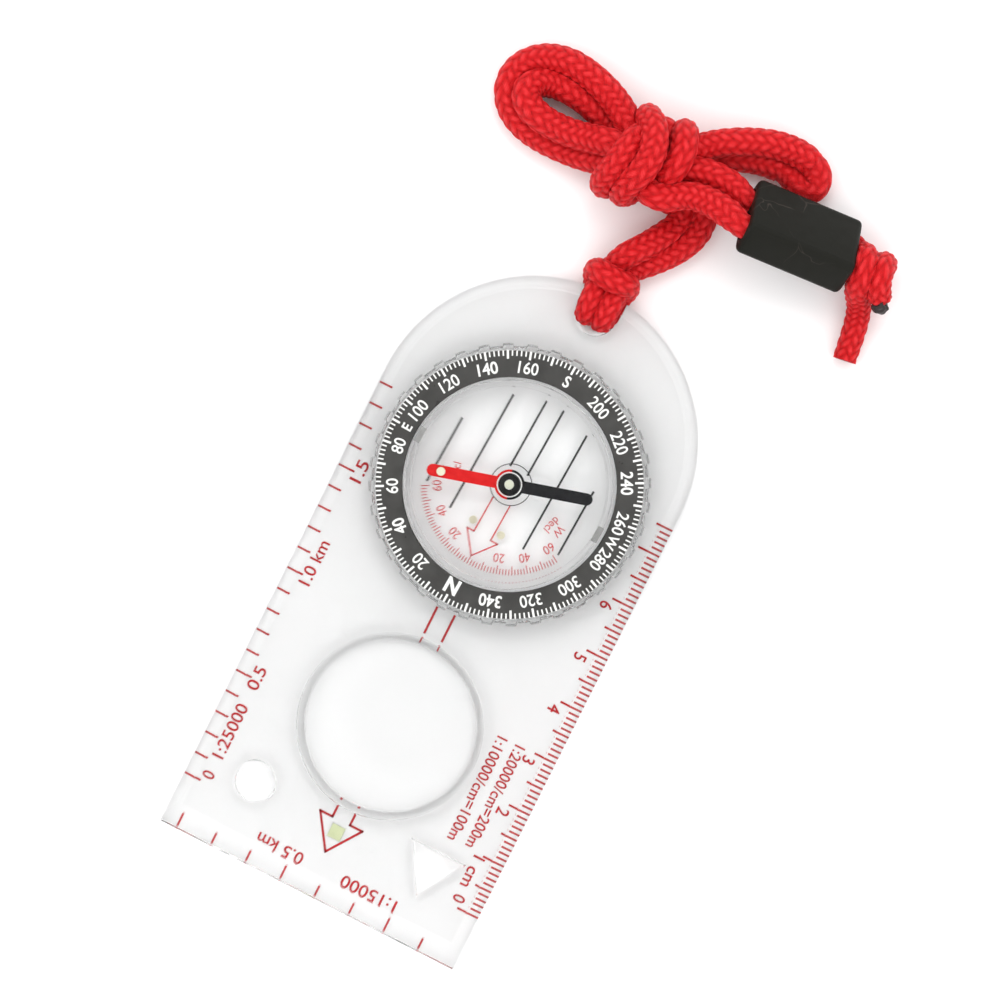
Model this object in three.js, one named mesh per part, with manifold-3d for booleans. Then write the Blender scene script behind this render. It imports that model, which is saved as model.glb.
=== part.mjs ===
// Baseplate compass with a rotating dial, a swinging needle and a knotted neck lanyard.
// Millimetres, +Z up, +Y along the direction-of-travel arrow, +X to the right seen from above.
// The origin is the centre of the baseplate's underside.
import * as THREE from "three";
import { mergeVertices } from "three/addons/utils/BufferGeometryUtils.js";
import Module from "manifold-3d";

const wasm = await Module();
wasm.setup();

// ---- driving dimensions ----
const PLATE_WIDTH = 57;
const PLATE_LENGTH = 116.5;
const PLATE_HEIGHT = 3;
const RIM_HEIGHT = 2; // plate height at its bevelled edge
const SIDE_BEVEL = 2.2; // width of the bevel along the sides and the round end
const FRONT_BEVEL = 4.2; // width of the bevel along the straight front edge
const FOOT_CHAMFER = 0.3;

const DIAL_Y = -21.25; // the dial's axis stands on x = 0
const DIAL_TURN = -2.8; // degrees, how far the dial is turned at rest
const LENS_Y = 25.45;
const LENS_RADIUS = 14.8;
const LENS_SEAT_RADIUS = 16.3;

const CAPSULE_RADIUS = 17.95;
const CAPSULE_INNER_RADIUS = 16.9;
const CAPSULE_TOP = 9.6;
const FLOOR_TOP = 1.45; // top of the capsule's floor
const DIAL_HOLE_RADIUS = 19.7;
const BEZEL_RADIUS = 23.85; // at the foot of the grip teeth
const TOOTH_COUNT = 36;
const TOOTH_HEIGHT = 0.5;
const BEZEL_BOTTOM = 3.15;
const BEZEL_SHELF = 5.1; // where the degree ring lies
const BEZEL_TOP = 6.2;
const BEZEL_RIM_RADIUS = BEZEL_RADIUS - 0.45; // inside of the low rim round the degree ring
const DEGREE_RING_THICKNESS = 0.8;

const NEEDLE_ANGLE = 15.7; // degrees from +X to the needle's north end at rest
const NEEDLE_REACH = 14.5; // axis to tip
const NEEDLE_WIDTH = 2.1;
const NEEDLE_BOTTOM = 4.85;
const NEEDLE_THICKNESS = 0.5;

const HOLE_Y = -53.95; // lanyard hole
const HOLE_RADIUS = 3.1;
const HOLE_CHAMFER = 0.5;
const STRAND_RADIUS = 2.2; // a strand as it is drawn up in the bundle

const SLIDER_LENGTH = 19.6;
const SLIDER_WIDTH = 12.4;
const SLIDER_THICKNESS = 7.5;
const SLIDER_CENTRE = new THREE.Vector3(-25.4, -81.2, 8.5);
const SLIDER_YAW = 4.4; // degrees, the axis seen from above
const SLIDER_PITCH = 13; // degrees, the end towards the bundle is raised
const SLIDER_ROLL = 43;
const SLIDER_HOLE_RADIUS = 2.2;
const SLIDER_HOLE_OFFSET = 3.05;

const GAP = 0.1; // between pieces that are pressed or glued together
const SLIM_GAP = 0.05; // between small fitted pieces
const CORD_GAP = 0.3; // between a cord's solids and what they meet
const ROUND = 60; // facets of a large round piece
const SMALL_ROUND = 24;
const OVERCUT = 1; // how far a cutter runs past the faces it cuts

const rad = THREE.MathUtils.degToRad;

// ---- materials ----
function material(color, roughness, metalness = 0, opacity = 1) {
  return new THREE.MeshStandardMaterial({
    color,
    roughness,
    metalness,
    opacity,
    transparent: opacity < 1,
  });
}

const clearAcrylic = material(0xf4f8f6, 0.08, 0, 0.35);
const blackPrint = material(0x17181a, 0.35);
const springSteel = material(0xb9bcc0, 0.3, 1);
const paintedSteel = material(0xd0212b, 0.4);
const blackPlastic = material(0x1c1d1a, 0.45);
const jewelGlass = material(0xdfe6c8, 0.15);
const luminousPaint = material(0xdfe8b0, 0.6);
const plugRubber = material(0x2a2b2c, 0.7);
const redCord = material(0xd8202c, 0.85);
const meltedCord = material(0x1a1012, 0.4);

// ---- geometry helpers ----
function solidOf(geometry) {
  const bare = new THREE.BufferGeometry();
  bare.setAttribute("position", geometry.getAttribute("position"));
  if (geometry.index) bare.setIndex(geometry.index);
  const merged = mergeVertices(bare, 1e-4);
  return new wasm.Manifold(
    new wasm.Mesh({
      numProp: 3,
      vertProperties: merged.attributes.position.array,
      triVerts: new Uint32Array(merged.index.array),
    }),
  );
}

function geometryOf(solid) {
  const mesh = solid.getMesh();
  return new THREE.BufferGeometry()
    .setAttribute("position", new THREE.BufferAttribute(mesh.vertProperties, 3))
    .setIndex(new THREE.BufferAttribute(mesh.triVerts, 1));
}

function cut(geometry, ...cutters) {
  const start = solidOf(geometry);
  return geometryOf(cutters.reduce((rest, cutter) => rest.subtract(solidOf(cutter)), start));
}

function join(...geometries) {
  return geometryOf(geometries.map(solidOf).reduce((sum, solid) => sum.add(solid)));
}

// A solid of revolution about Z: the profile lists [radius, z] anticlockwise in the radius-z plane.
function turned(profile, facets = ROUND) {
  const closed = profile[0][0] > 0 ? [...profile, profile[0]] : profile;
  const points = closed.map(([radius, z]) => new THREE.Vector2(radius, z));
  return new THREE.LatheGeometry(points, facets).rotateX(Math.PI / 2);
}

function drum(radius, bottom, top, facets = SMALL_ROUND) {
  return turned([[0, bottom], [radius, bottom], [radius, top], [0, top]], facets);
}

// A round hole from bottom to top with a 45 degree chamfer at each mouth.
function chamferedHole(radius, bottom, top, chamfer, facets) {
  const mouth = radius + chamfer + OVERCUT;
  return turned(
    [
      [0, bottom - OVERCUT],
      [mouth, bottom - OVERCUT],
      [radius, bottom + chamfer],
      [radius, top - chamfer],
      [mouth, top + OVERCUT],
      [0, top + OVERCUT],
    ],
    facets,
  );
}

function block(low, high) {
  const size = high.map((value, i) => value - low[i]);
  const centre = high.map((value, i) => (value + low[i]) / 2);
  return new THREE.BoxGeometry(...size).translate(...centre);
}

function plain(shape, depth, facets = SMALL_ROUND) {
  return new THREE.ExtrudeGeometry(shape, { depth, bevelEnabled: false, curveSegments: facets });
}

// A closed tube of one radius along a smooth curve through the points.
function tube(points, radius, steps, sides = 8) {
  const section = new THREE.Shape();
  for (let i = 0; i < sides; i++) {
    const angle = (2 * Math.PI * i) / sides;
    const x = radius * Math.cos(angle);
    const y = radius * Math.sin(angle);
    if (i === 0) section.moveTo(x, y);
    else section.lineTo(x, y);
  }
  const curve = new THREE.CatmullRomCurve3(points.map((p) => new THREE.Vector3(...p)));
  return new THREE.ExtrudeGeometry(section, { steps, extrudePath: curve, bevelEnabled: false });
}

function ellipsoid(centre, half, facets = 16) {
  return new THREE.SphereGeometry(1, facets, facets / 2)
    .rotateX(Math.PI / 2)
    .scale(...half)
    .translate(...centre);
}

function piece(name, geometry, finish) {
  const mesh = new THREE.Mesh(geometry, finish);
  mesh.name = name;
  return mesh;
}

// ---- baseplate ----
const END_RADIUS = PLATE_WIDTH / 2;
const END_Y = END_RADIUS - PLATE_LENGTH / 2; // centre of the round end

// The plate's outline, drawn in by side along its sides and round end, and by front at its front.
function plateOutline(side, front) {
  const half = PLATE_WIDTH / 2 - side;
  const points = [
    new THREE.Vector2(half, PLATE_LENGTH / 2 - front),
    new THREE.Vector2(-half, PLATE_LENGTH / 2 - front),
  ];
  for (let i = 0; i <= ROUND / 2; i++) {
    const angle = Math.PI + (2 * Math.PI * i) / ROUND;
    points.push(new THREE.Vector2(half * Math.cos(angle), END_Y + half * Math.sin(angle)));
  }
  return points;
}

// A closed solid through outlines of equal point count, each at its own height.
function stacked(levels) {
  const positions = levels.flatMap(({ outline, z }) => outline.flatMap((p) => [p.x, p.y, z]));
  const count = levels[0].outline.length;
  const cap = THREE.ShapeUtils.triangulateShape(levels[0].outline, []);
  const last = (levels.length - 1) * count;
  const index = [];
  for (const [a, b, c] of cap) {
    index.push(a, c, b);
    index.push(last + a, last + b, last + c);
  }
  for (let level = 0; level < levels.length - 1; level++) {
    for (let i = 0; i < count; i++) {
      const a = level * count + i;
      const b = level * count + ((i + 1) % count);
      index.push(a, b, b + count, a, b + count, a + count);
    }
  }
  return new THREE.BufferGeometry()
    .setAttribute("position", new THREE.Float32BufferAttribute(positions, 3))
    .setIndex(index);
}

const CIRCLE_TEMPLATE = { x: 16.8, y: 44.75, radius: 3.4, chamfer: 0.35 };
const TRIANGLE_TEMPLATE = { x: -17.2, y: 44.2, corner: 5.43 }; // centre and centre to corner
const INLAY = { x: 0.2, y: 46.3, side: 2.6, height: 0.35 };
const CHANNEL = { width: 8, height: 1.05 }; // underside relief for the lanyard's strands

function triangleCutter() {
  const { x, y, corner } = TRIANGLE_TEMPLATE;
  const corners = [90, 210, 330].map((angle) => {
    const turn = rad(angle);
    return new THREE.Vector2(x + corner * Math.cos(turn), y + corner * Math.sin(turn));
  });
  const height = PLATE_HEIGHT + 2 * OVERCUT;
  return plain(new THREE.Shape(corners), height).translate(0, 0, -OVERCUT);
}

function inlayPocket(side, bottom, top) {
  const half = side / 2;
  const low = [INLAY.x - half, INLAY.y - half, bottom];
  return block(low, [INLAY.x + half, INLAY.y + half, top]);
}

function dialHole() {
  const recessRadius = 21.7;
  const recessTop = 1.15;
  return turned([
    [0, -OVERCUT],
    [recessRadius, -OVERCUT],
    [recessRadius, recessTop],
    [DIAL_HOLE_RADIUS, recessTop],
    [DIAL_HOLE_RADIUS, PLATE_HEIGHT + OVERCUT],
    [0, PLATE_HEIGHT + OVERCUT],
  ]).translate(0, DIAL_Y, 0);
}

const LENS_LEDGE_Z = 1.4;

function lensHole() {
  const bore = LENS_RADIUS + 2 * GAP;
  return turned([
    [0, -OVERCUT],
    [bore, -OVERCUT],
    [bore, LENS_LEDGE_Z],
    [LENS_SEAT_RADIUS, LENS_LEDGE_Z],
    [LENS_SEAT_RADIUS, PLATE_HEIGHT + OVERCUT],
    [0, PLATE_HEIGHT + OVERCUT],
  ]).translate(0, LENS_Y, 0);
}

function baseplate() {
  const levels = [
    { outline: plateOutline(FOOT_CHAMFER, FOOT_CHAMFER), z: 0 },
    { outline: plateOutline(0, 0), z: FOOT_CHAMFER },
    { outline: plateOutline(0, 0), z: RIM_HEIGHT },
    { outline: plateOutline(SIDE_BEVEL, FRONT_BEVEL), z: PLATE_HEIGHT },
  ];
  const { x, y, radius, chamfer } = CIRCLE_TEMPLATE;
  const circle = chamferedHole(radius, 0, PLATE_HEIGHT, chamfer, 36).translate(x, y, 0);
  const lanyardHole = chamferedHole(HOLE_RADIUS, 0, PLATE_HEIGHT, HOLE_CHAMFER, 36).translate(0, HOLE_Y, 0);
  const half = CHANNEL.width / 2;
  const channel = block(
    [-half, -PLATE_LENGTH / 2 - OVERCUT, -OVERCUT],
    [half, HOLE_Y, CHANNEL.height],
  );
  return cut(
    stacked(levels),
    dialHole(),
    lensHole(),
    circle,
    triangleCutter(),
    lanyardHole,
    channel,
    inlayPocket(INLAY.side, -OVERCUT, INLAY.height),
  );
}

function magnifierLens() {
  const flangeRadius = LENS_SEAT_RADIUS - GAP;
  const bottom = 0.4;
  const rise = 1.6; // how far the crown stands above the plate
  const crownRadius = (LENS_RADIUS ** 2 + rise ** 2) / (2 * rise);
  const profile = [
    [0, bottom],
    [LENS_RADIUS, bottom],
    [LENS_RADIUS, LENS_LEDGE_Z + GAP],
    [flangeRadius, LENS_LEDGE_Z + GAP],
    [flangeRadius, PLATE_HEIGHT],
    [LENS_RADIUS, PLATE_HEIGHT],
  ];
  const rings = 5;
  for (let i = rings - 1; i >= 0; i--) {
    const radius = (LENS_RADIUS * i) / rings;
    const drop = crownRadius - Math.sqrt(crownRadius ** 2 - radius ** 2);
    profile.push([radius, PLATE_HEIGHT + rise - drop]);
  }
  return turned(profile).translate(0, LENS_Y, 0);
}

// ---- dial: everything here is made round the dial's axis ----
const SPIGOT_RADIUS = 19.4;
const LIP_RADIUS = 19.2; // below the groove
const GROOVE_RADIUS = 18.9;
const GROOVE_BOTTOM = 0.3;
const GROOVE_TOP = 1.1;
const WALL_TOP = 8.4;
const LID_SPIGOT = 0.45;
const PLUG = { width: 2.8, bottom: 6.4, top: 7.8 };
const DOT = { x: 2.75, y: 8.45, radius: 0.7, depth: 0.35 };
const PIN_RADIUS = 0.6;
const PIN_FOOT = 0.6;
const BOSS = { radius: 3.3, height: 0.4 };

function plugBlock(side, clearance) {
  const half = PLUG.width / 2 + clearance;
  const inner = CAPSULE_INNER_RADIUS - (clearance ? OVERCUT : 0);
  const outer = CAPSULE_RADIUS + (clearance ? OVERCUT : 0);
  const [low, high] = side > 0 ? [inner, outer] : [-outer, -inner];
  return block([low, -half, PLUG.bottom - clearance], [high, half, PLUG.top + clearance]);
}

function capsuleBase() {
  const lip = 0.1;
  const shoulder = BEZEL_BOTTOM - SLIM_GAP;
  const bossTop = FLOOR_TOP + BOSS.height;
  const cup = turned([
    [0, lip],
    [LIP_RADIUS, lip],
    [LIP_RADIUS, GROOVE_BOTTOM],
    [GROOVE_RADIUS, GROOVE_BOTTOM],
    [GROOVE_RADIUS, GROOVE_TOP],
    [SPIGOT_RADIUS, GROOVE_TOP],
    [SPIGOT_RADIUS, shoulder],
    [CAPSULE_RADIUS, shoulder],
    [CAPSULE_RADIUS, WALL_TOP],
    [CAPSULE_INNER_RADIUS, WALL_TOP],
    [CAPSULE_INNER_RADIUS, FLOOR_TOP],
    [BOSS.radius, FLOOR_TOP],
    [BOSS.radius, bossTop],
    [0, bossTop],
  ]);
  const pockets = [-1, 1].map((side) => {
    const pocket = drum(DOT.radius + SLIM_GAP, FLOOR_TOP - DOT.depth, FLOOR_TOP + OVERCUT, 16);
    return pocket.translate(side * DOT.x, DOT.y, 0);
  });
  const pinHole = drum(PIN_RADIUS + SLIM_GAP, PIN_FOOT - SLIM_GAP, bossTop + OVERCUT, 16);
  return cut(cup, ...pockets, pinHole, plugBlock(-1, GAP), plugBlock(1, GAP));
}

function capsuleLid() {
  const edge = 0.5;
  const bottom = WALL_TOP + SLIM_GAP;
  return turned([
    [0, bottom - LID_SPIGOT],
    [CAPSULE_INNER_RADIUS - GAP, bottom - LID_SPIGOT],
    [CAPSULE_INNER_RADIUS - GAP, bottom],
    [CAPSULE_RADIUS, bottom],
    [CAPSULE_RADIUS, CAPSULE_TOP - edge],
    [CAPSULE_RADIUS - edge, CAPSULE_TOP],
    [0, CAPSULE_TOP],
  ]);
}

// The bezel's toothed outline: each tooth is a short raised land of the rim.
function bezelOutline() {
  const outline = new THREE.Shape();
  const pitch = (2 * Math.PI) / TOOTH_COUNT;
  const tip = BEZEL_RADIUS + TOOTH_HEIGHT;
  const corners = [
    [-0.25, BEZEL_RADIUS],
    [-0.19, tip],
    [0.19, tip],
    [0.25, BEZEL_RADIUS],
  ];
  const points = [];
  for (let tooth = 0; tooth < TOOTH_COUNT; tooth++) {
    for (const [turn, radius] of corners) {
      const angle = (tooth + turn) * pitch;
      points.push(new THREE.Vector2(radius * Math.cos(angle), radius * Math.sin(angle)));
    }
  }
  outline.setFromPoints(points);
  return outline;
}

function bezelRing() {
  const inner = CAPSULE_RADIUS + GAP;
  const body = plain(bezelOutline(), BEZEL_TOP - BEZEL_BOTTOM).translate(0, 0, BEZEL_BOTTOM);
  const bore = turned([
    [0, BEZEL_BOTTOM - OVERCUT],
    [inner, BEZEL_BOTTOM - OVERCUT],
    [inner, BEZEL_SHELF],
    [BEZEL_RIM_RADIUS, BEZEL_SHELF],
    [BEZEL_RIM_RADIUS, BEZEL_TOP + OVERCUT],
    [0, BEZEL_TOP + OVERCUT],
  ]);
  return cut(body, bore);
}

function degreeRing() {
  const inner = CAPSULE_RADIUS + GAP;
  const outer = BEZEL_RIM_RADIUS - GAP;
  const bottom = BEZEL_SHELF + SLIM_GAP;
  const top = bottom + DEGREE_RING_THICKNESS;
  return turned([[inner, bottom], [outer, bottom], [outer, top], [inner, top]]);
}

// A split ring sprung into the capsule's groove, which holds the dial in the plate.
function retainingRing() {
  const inner = GROOVE_RADIUS + GAP;
  const outer = 21.4;
  const thickness = 0.65;
  const split = rad(4); // half the gap between the ring's ends
  const shape = new THREE.Shape();
  shape.absarc(0, 0, outer, split, 2 * Math.PI - split, false);
  shape.absarc(0, 0, inner, 2 * Math.PI - split, split, true);
  const ring = plain(shape, thickness, ROUND / 2).rotateZ(-Math.PI / 2);
  return ring.translate(0, 0, GROOVE_BOTTOM + SLIM_GAP);
}

function pivotPin() {
  const shank = 4.3;
  const tip = 5.75;
  return turned([[0, PIN_FOOT], [PIN_RADIUS, PIN_FOOT], [PIN_RADIUS, shank], [0, tip]], 16);
}

// ---- needle: made along +X, with its north end at +X ----
const EYE_RADIUS = 2.6;
const EYE_HOLE_RADIUS = 1.95;

function needleBar() {
  const half = NEEDLE_WIDTH / 2;
  const straight = NEEDLE_REACH - half;
  const shape = new THREE.Shape();
  const meet = Math.asin(half / EYE_RADIUS); // where an arm runs into the eye
  shape.absarc(straight, 0, half, -Math.PI / 2, Math.PI / 2, false);
  shape.absarc(0, 0, EYE_RADIUS, meet, Math.PI - meet, false);
  shape.absarc(-straight, 0, half, Math.PI / 2, (3 * Math.PI) / 2, false);
  shape.absarc(0, 0, EYE_RADIUS, Math.PI + meet, 2 * Math.PI - meet, false);
  shape.holes.push(new THREE.Path().absarc(0, 0, EYE_HOLE_RADIUS, 0, 2 * Math.PI, true));
  return plain(shape, NEEDLE_THICKNESS, 12).translate(0, 0, NEEDLE_BOTTOM);
}

const JEWEL_RADIUS = 0.8;
const JEWEL_BOTTOM = 5.3;

function needleHub() {
  const flange = 2.4;
  const bell = 1.15;
  const bottom = 4.3;
  const top = 6;
  return turned(
    [
      [bell, bottom],
      [flange, bottom],
      [flange, NEEDLE_BOTTOM - SLIM_GAP],
      [EYE_HOLE_RADIUS - GAP, NEEDLE_BOTTOM - SLIM_GAP],
      [EYE_HOLE_RADIUS - GAP, top],
      [JEWEL_RADIUS + SLIM_GAP, top],
      [JEWEL_RADIUS + SLIM_GAP, JEWEL_BOTTOM - GAP],
      [bell, JEWEL_BOTTOM - GAP],
    ],
    SMALL_ROUND,
  );
}

function jewelBearing() {
  const cup = 0.5; // the hollow the pin's tip stands in
  const top = 6.1;
  const dome = 0.15;
  return turned(
    [
      [0, JEWEL_BOTTOM + cup],
      [cup, JEWEL_BOTTOM],
      [JEWEL_RADIUS, JEWEL_BOTTOM],
      [JEWEL_RADIUS, top],
      [0, top + dome],
    ],
    20,
  );
}

function needleDot() {
  const radius = 0.75;
  const height = 0.2;
  const reach = 12;
  const bottom = NEEDLE_BOTTOM + NEEDLE_THICKNESS + SLIM_GAP;
  return drum(radius, bottom, bottom + height, 20).translate(reach, 0, 0);
}

// ---- cord slider: made along +Z, width along X, thickness along Y ----
function sliderFrame() {
  const yaw = rad(SLIDER_YAW);
  const pitch = rad(SLIDER_PITCH);
  const roll = rad(SLIDER_ROLL);
  const axis = new THREE.Vector3(
    Math.cos(pitch) * Math.cos(yaw),
    Math.cos(pitch) * Math.sin(yaw),
    Math.sin(pitch),
  );
  const side = new THREE.Vector3(Math.sin(yaw), -Math.cos(yaw), 0);
  const up = new THREE.Vector3().crossVectors(side, axis);
  const width = side.clone().multiplyScalar(Math.cos(roll)).addScaledVector(up, -Math.sin(roll));
  const thickness = new THREE.Vector3().crossVectors(axis, width);
  return new THREE.Matrix4().makeBasis(width, thickness, axis).setPosition(SLIDER_CENTRE);
}

function roundedRectangle(width, height, corner) {
  const x = width / 2 - corner;
  const y = height / 2 - corner;
  const shape = new THREE.Shape();
  shape.absarc(x, y, corner, 0, Math.PI / 2, false);
  shape.absarc(-x, y, corner, Math.PI / 2, Math.PI, false);
  shape.absarc(-x, -y, corner, Math.PI, 1.5 * Math.PI, false);
  shape.absarc(x, -y, corner, 1.5 * Math.PI, 2 * Math.PI, false);
  return shape;
}

function cordSlider() {
  const edge = 0.9;
  const corner = 0.3;
  const mouth = 0.35; // chamfer of the cord holes
  const shape = roundedRectangle(SLIDER_WIDTH - 2 * edge, SLIDER_THICKNESS - 2 * edge, corner);
  const body = new THREE.ExtrudeGeometry(shape, {
    depth: SLIDER_LENGTH - 2 * edge,
    bevelEnabled: true,
    bevelThickness: edge,
    bevelSize: edge,
    bevelSegments: 1,
    curveSegments: 2,
  }).translate(0, 0, edge - SLIDER_LENGTH / 2);
  const holes = [-1, 1].map((side) => {
    const end = SLIDER_LENGTH / 2;
    const hole = chamferedHole(SLIDER_HOLE_RADIUS, -end, end, mouth, 16);
    return hole.translate(side * SLIDER_HOLE_OFFSET, 0, 0);
  });
  return cut(body, ...holes);
}

// ---- lanyard ----
const KNOT_CENTRE = [4.6, -81, 7.9];
const KNOT_HALF = [5.6, 9.2, 7.6];
const END_KNOT_CENTRE = [-39.9, -81.9, 5.4];
const END_KNOT_HALF = [3.7, 5, 5];
const HITCH_BAND = { y: -60.6, z: 3.3, left: -4.9, right: 4.9, radius: 2.6, height: 3.2 };

function grownKnot(centre, half) {
  return ellipsoid(centre, half.map((value) => value + CORD_GAP));
}

// The lark's head: two strands come up through the hole, pass over the rim and close in a band.
function lanyardHitch() {
  const strandX = 2;
  const radius = 1.9;
  const bottom = 0.1;
  const overRim = PLATE_HEIGHT + CORD_GAP + radius;
  const strands = [-strandX, strandX].map((x) =>
    tube(
      [
        [x * 0.6, HOLE_Y + 0.6, overRim - 1.6],
        [x, HOLE_Y - 1.2, overRim],
        [x, HOLE_Y - 3.4, overRim],
        [x, HITCH_BAND.y + 0.6, HITCH_BAND.z + 0.6],
      ],
      radius,
      6,
    ),
  );
  const column = drum(HOLE_RADIUS - CORD_GAP, bottom, overRim).translate(0, HOLE_Y, 0);
  const half = CHANNEL.width / 2 - CORD_GAP;
  const channelTop = CHANNEL.height - CORD_GAP;
  const under = block([-half, HITCH_BAND.y, bottom], [half, HOLE_Y - 0.2, channelTop]);
  const skirt = block([-half, HITCH_BAND.y, bottom], [half, HITCH_BAND.y + 1.6, HITCH_BAND.z]);
  const middle = (HITCH_BAND.left + HITCH_BAND.right) / 2;
  const reach = (HITCH_BAND.right - HITCH_BAND.left) / 2;
  const bandHalf = [reach, HITCH_BAND.radius, HITCH_BAND.height];
  const band = ellipsoid([middle, HITCH_BAND.y, HITCH_BAND.z], bandHalf);
  const plateSide = block([-9, -PLATE_LENGTH / 2 - CORD_GAP, -OVERCUT], [9, 0, 9]);
  const bandSlice = cut(band, plateSide);
  return join(column, ...strands, under, skirt, bandSlice);
}

const LEAD_ROUTE = [
  [-1.2, -66, 3.2],
  [-3.6, -67.6, 3],
  [-6.6, -70.6, 2.6],
  [-8.2, -74.4, 2.5],
  [-6.8, -78, 2.5],
  [-3.8, -79.8, 2.5],
  [-1, -80.4, 3],
];

// The doubled lead: two strands side by side.
function leadStrand(side) {
  const spacing = 2.35; // from the lead's middle to a strand's
  const offset = side * spacing;
  const route = LEAD_ROUTE.map(([x, y, z], i) => {
    const before = LEAD_ROUTE[Math.max(i - 1, 0)];
    const after = LEAD_ROUTE[Math.min(i + 1, LEAD_ROUTE.length - 1)];
    const along = new THREE.Vector2(after[0] - before[0], after[1] - before[1]).normalize();
    return [x - offset * along.y, y + offset * along.x, z];
  });
  return cut(tube(route, STRAND_RADIUS, 12), grownKnot(KNOT_CENTRE, KNOT_HALF));
}

function lanyardLoops() {
  const left = 5;
  const right = 34;
  const top = -75.3;
  const bottom = -93.9;
  const height = 10.2;
  const corner = (top - bottom) / 2;
  const edge = 3;
  const shape = new THREE.Shape();
  const y = (top + bottom) / 2;
  shape.moveTo(left, bottom + edge);
  shape.absarc(right - corner, y, corner - edge, -Math.PI / 2, Math.PI / 2, false);
  shape.lineTo(left, top - edge);
  const hank = new THREE.ExtrudeGeometry(shape, {
    depth: height - 2 * edge,
    bevelEnabled: true,
    bevelThickness: edge,
    bevelSize: edge,
    bevelSegments: 2,
    curveSegments: 8,
  }).translate(0, 0, edge + 0.1);
  return cut(hank, grownKnot(KNOT_CENTRE, KNOT_HALF));
}

const BIGHT_ROUTE = [
  [1.5, -88.6, 7.2],
  [-5, -90.8, 6.8],
  [-12, -92.6, 6.4],
  [-19, -94, 5.4],
  [-24.6, -92.4, 4.2],
  [-24.8, -88.9, 2.8],
  [-19.6, -89.6, 2.5],
  [-12, -88.8, 2.5],
  [-5, -87.8, 2.8],
  [1.5, -86.4, 3.4],
];

function lanyardBight() {
  return cut(tube(BIGHT_ROUTE, STRAND_RADIUS, 22), grownKnot(KNOT_CENTRE, KNOT_HALF));
}

// One strand from the centre knot straight through the slider to the end knot.
function sliderStrand(side) {
  const frame = sliderFrame();
  const ends = [-SLIDER_LENGTH / 2 - 5, -5, 5, SLIDER_LENGTH / 2 + 4];
  const offset = side * SLIDER_HOLE_OFFSET;
  const straight = ends.map((z) => new THREE.Vector3(offset, 0, z).applyMatrix4(frame).toArray());
  const knotSide = [KNOT_CENTRE[0], KNOT_CENTRE[1] - side, KNOT_CENTRE[2] + 2 - 1.5 * side];
  const radius = SLIDER_HOLE_RADIUS - CORD_GAP;
  return cut(
    tube([...straight, knotSide], radius, 12),
    grownKnot(KNOT_CENTRE, KNOT_HALF),
    grownKnot(END_KNOT_CENTRE, END_KNOT_HALF),
  );
}

function lanyardTail() {
  const route = [
    [-40.2, -78.6, 3],
    [-40.9, -75.4, 2.3],
    [-41.4, -71, 2.1],
    [-41.8, -66, 2.1],
  ];
  return cut(tube(route, 2, 6), grownKnot(END_KNOT_CENTRE, END_KNOT_HALF));
}

function meltedEnd() {
  const stub = ellipsoid([-42.8, -77, 6.6], [1.4, 1.6, 1.4], 12);
  return cut(stub, grownKnot(END_KNOT_CENTRE, END_KNOT_HALF));
}

// ---- assembly ----
const compass = new THREE.Group();

compass.add(piece("baseplate", baseplate(), clearAcrylic));
compass.add(piece("magnifier_lens", magnifierLens(), clearAcrylic));
const inlay = inlayPocket(INLAY.side - 2 * GAP, SLIM_GAP, INLAY.height - SLIM_GAP);
compass.add(piece("travel_arrow_inlay", inlay, luminousPaint));

const dial = new THREE.Group();
dial.position.set(0, DIAL_Y, 0);
dial.rotation.z = rad(DIAL_TURN);
dial.add(piece("bezel_ring", bezelRing(), clearAcrylic));
dial.add(piece("degree_ring", degreeRing(), blackPrint));
dial.add(piece("capsule_base", capsuleBase(), clearAcrylic));
dial.add(piece("capsule_lid", capsuleLid(), clearAcrylic));
dial.add(piece("retaining_ring", retainingRing(), springSteel));
dial.add(piece("fill_plug", plugBlock(-1, 0), plugRubber));
dial.add(piece("vent_plug", plugBlock(1, 0), plugRubber));
for (const [name, side] of [["orienting_dot_left", -1], ["orienting_dot_right", 1]]) {
  const dot = drum(DOT.radius, FLOOR_TOP - DOT.depth + SLIM_GAP, FLOOR_TOP, 16);
  dial.add(piece(name, dot.translate(side * DOT.x, DOT.y, 0), luminousPaint));
}
dial.add(piece("pivot_pin", pivotPin(), springSteel));
compass.add(dial);

const needle = new THREE.Group();
needle.position.set(0, DIAL_Y, 0);
needle.rotation.z = rad(NEEDLE_ANGLE);
needle.add(piece("needle_bar", needleBar(), paintedSteel));
needle.add(piece("needle_hub", needleHub(), blackPlastic));
needle.add(piece("jewel_bearing", jewelBearing(), jewelGlass));
needle.add(piece("needle_dot", needleDot(), luminousPaint));
compass.add(needle);

const slider = piece("cord_slider", cordSlider(), blackPlastic);
slider.applyMatrix4(sliderFrame());
compass.add(slider);

compass.add(piece("lanyard_hitch", lanyardHitch(), redCord));
compass.add(piece("lanyard_lead_left", leadStrand(-1), redCord));
compass.add(piece("lanyard_lead_right", leadStrand(1), redCord));
compass.add(piece("lanyard_centre_knot", ellipsoid(KNOT_CENTRE, KNOT_HALF), redCord));
compass.add(piece("lanyard_loops", lanyardLoops(), redCord));
compass.add(piece("lanyard_bight", lanyardBight(), redCord));
compass.add(piece("slider_strand_upper", sliderStrand(-1), redCord));
compass.add(piece("slider_strand_lower", sliderStrand(1), redCord));
compass.add(piece("lanyard_end_knot", ellipsoid(END_KNOT_CENTRE, END_KNOT_HALF), redCord));
compass.add(piece("lanyard_tail", lanyardTail(), redCord));
compass.add(piece("lanyard_melted_end", meltedEnd(), meltedCord));

export default compass;
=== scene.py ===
import math

import bmesh
import bpy
import numpy as np
from mathutils import Matrix, Vector


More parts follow.
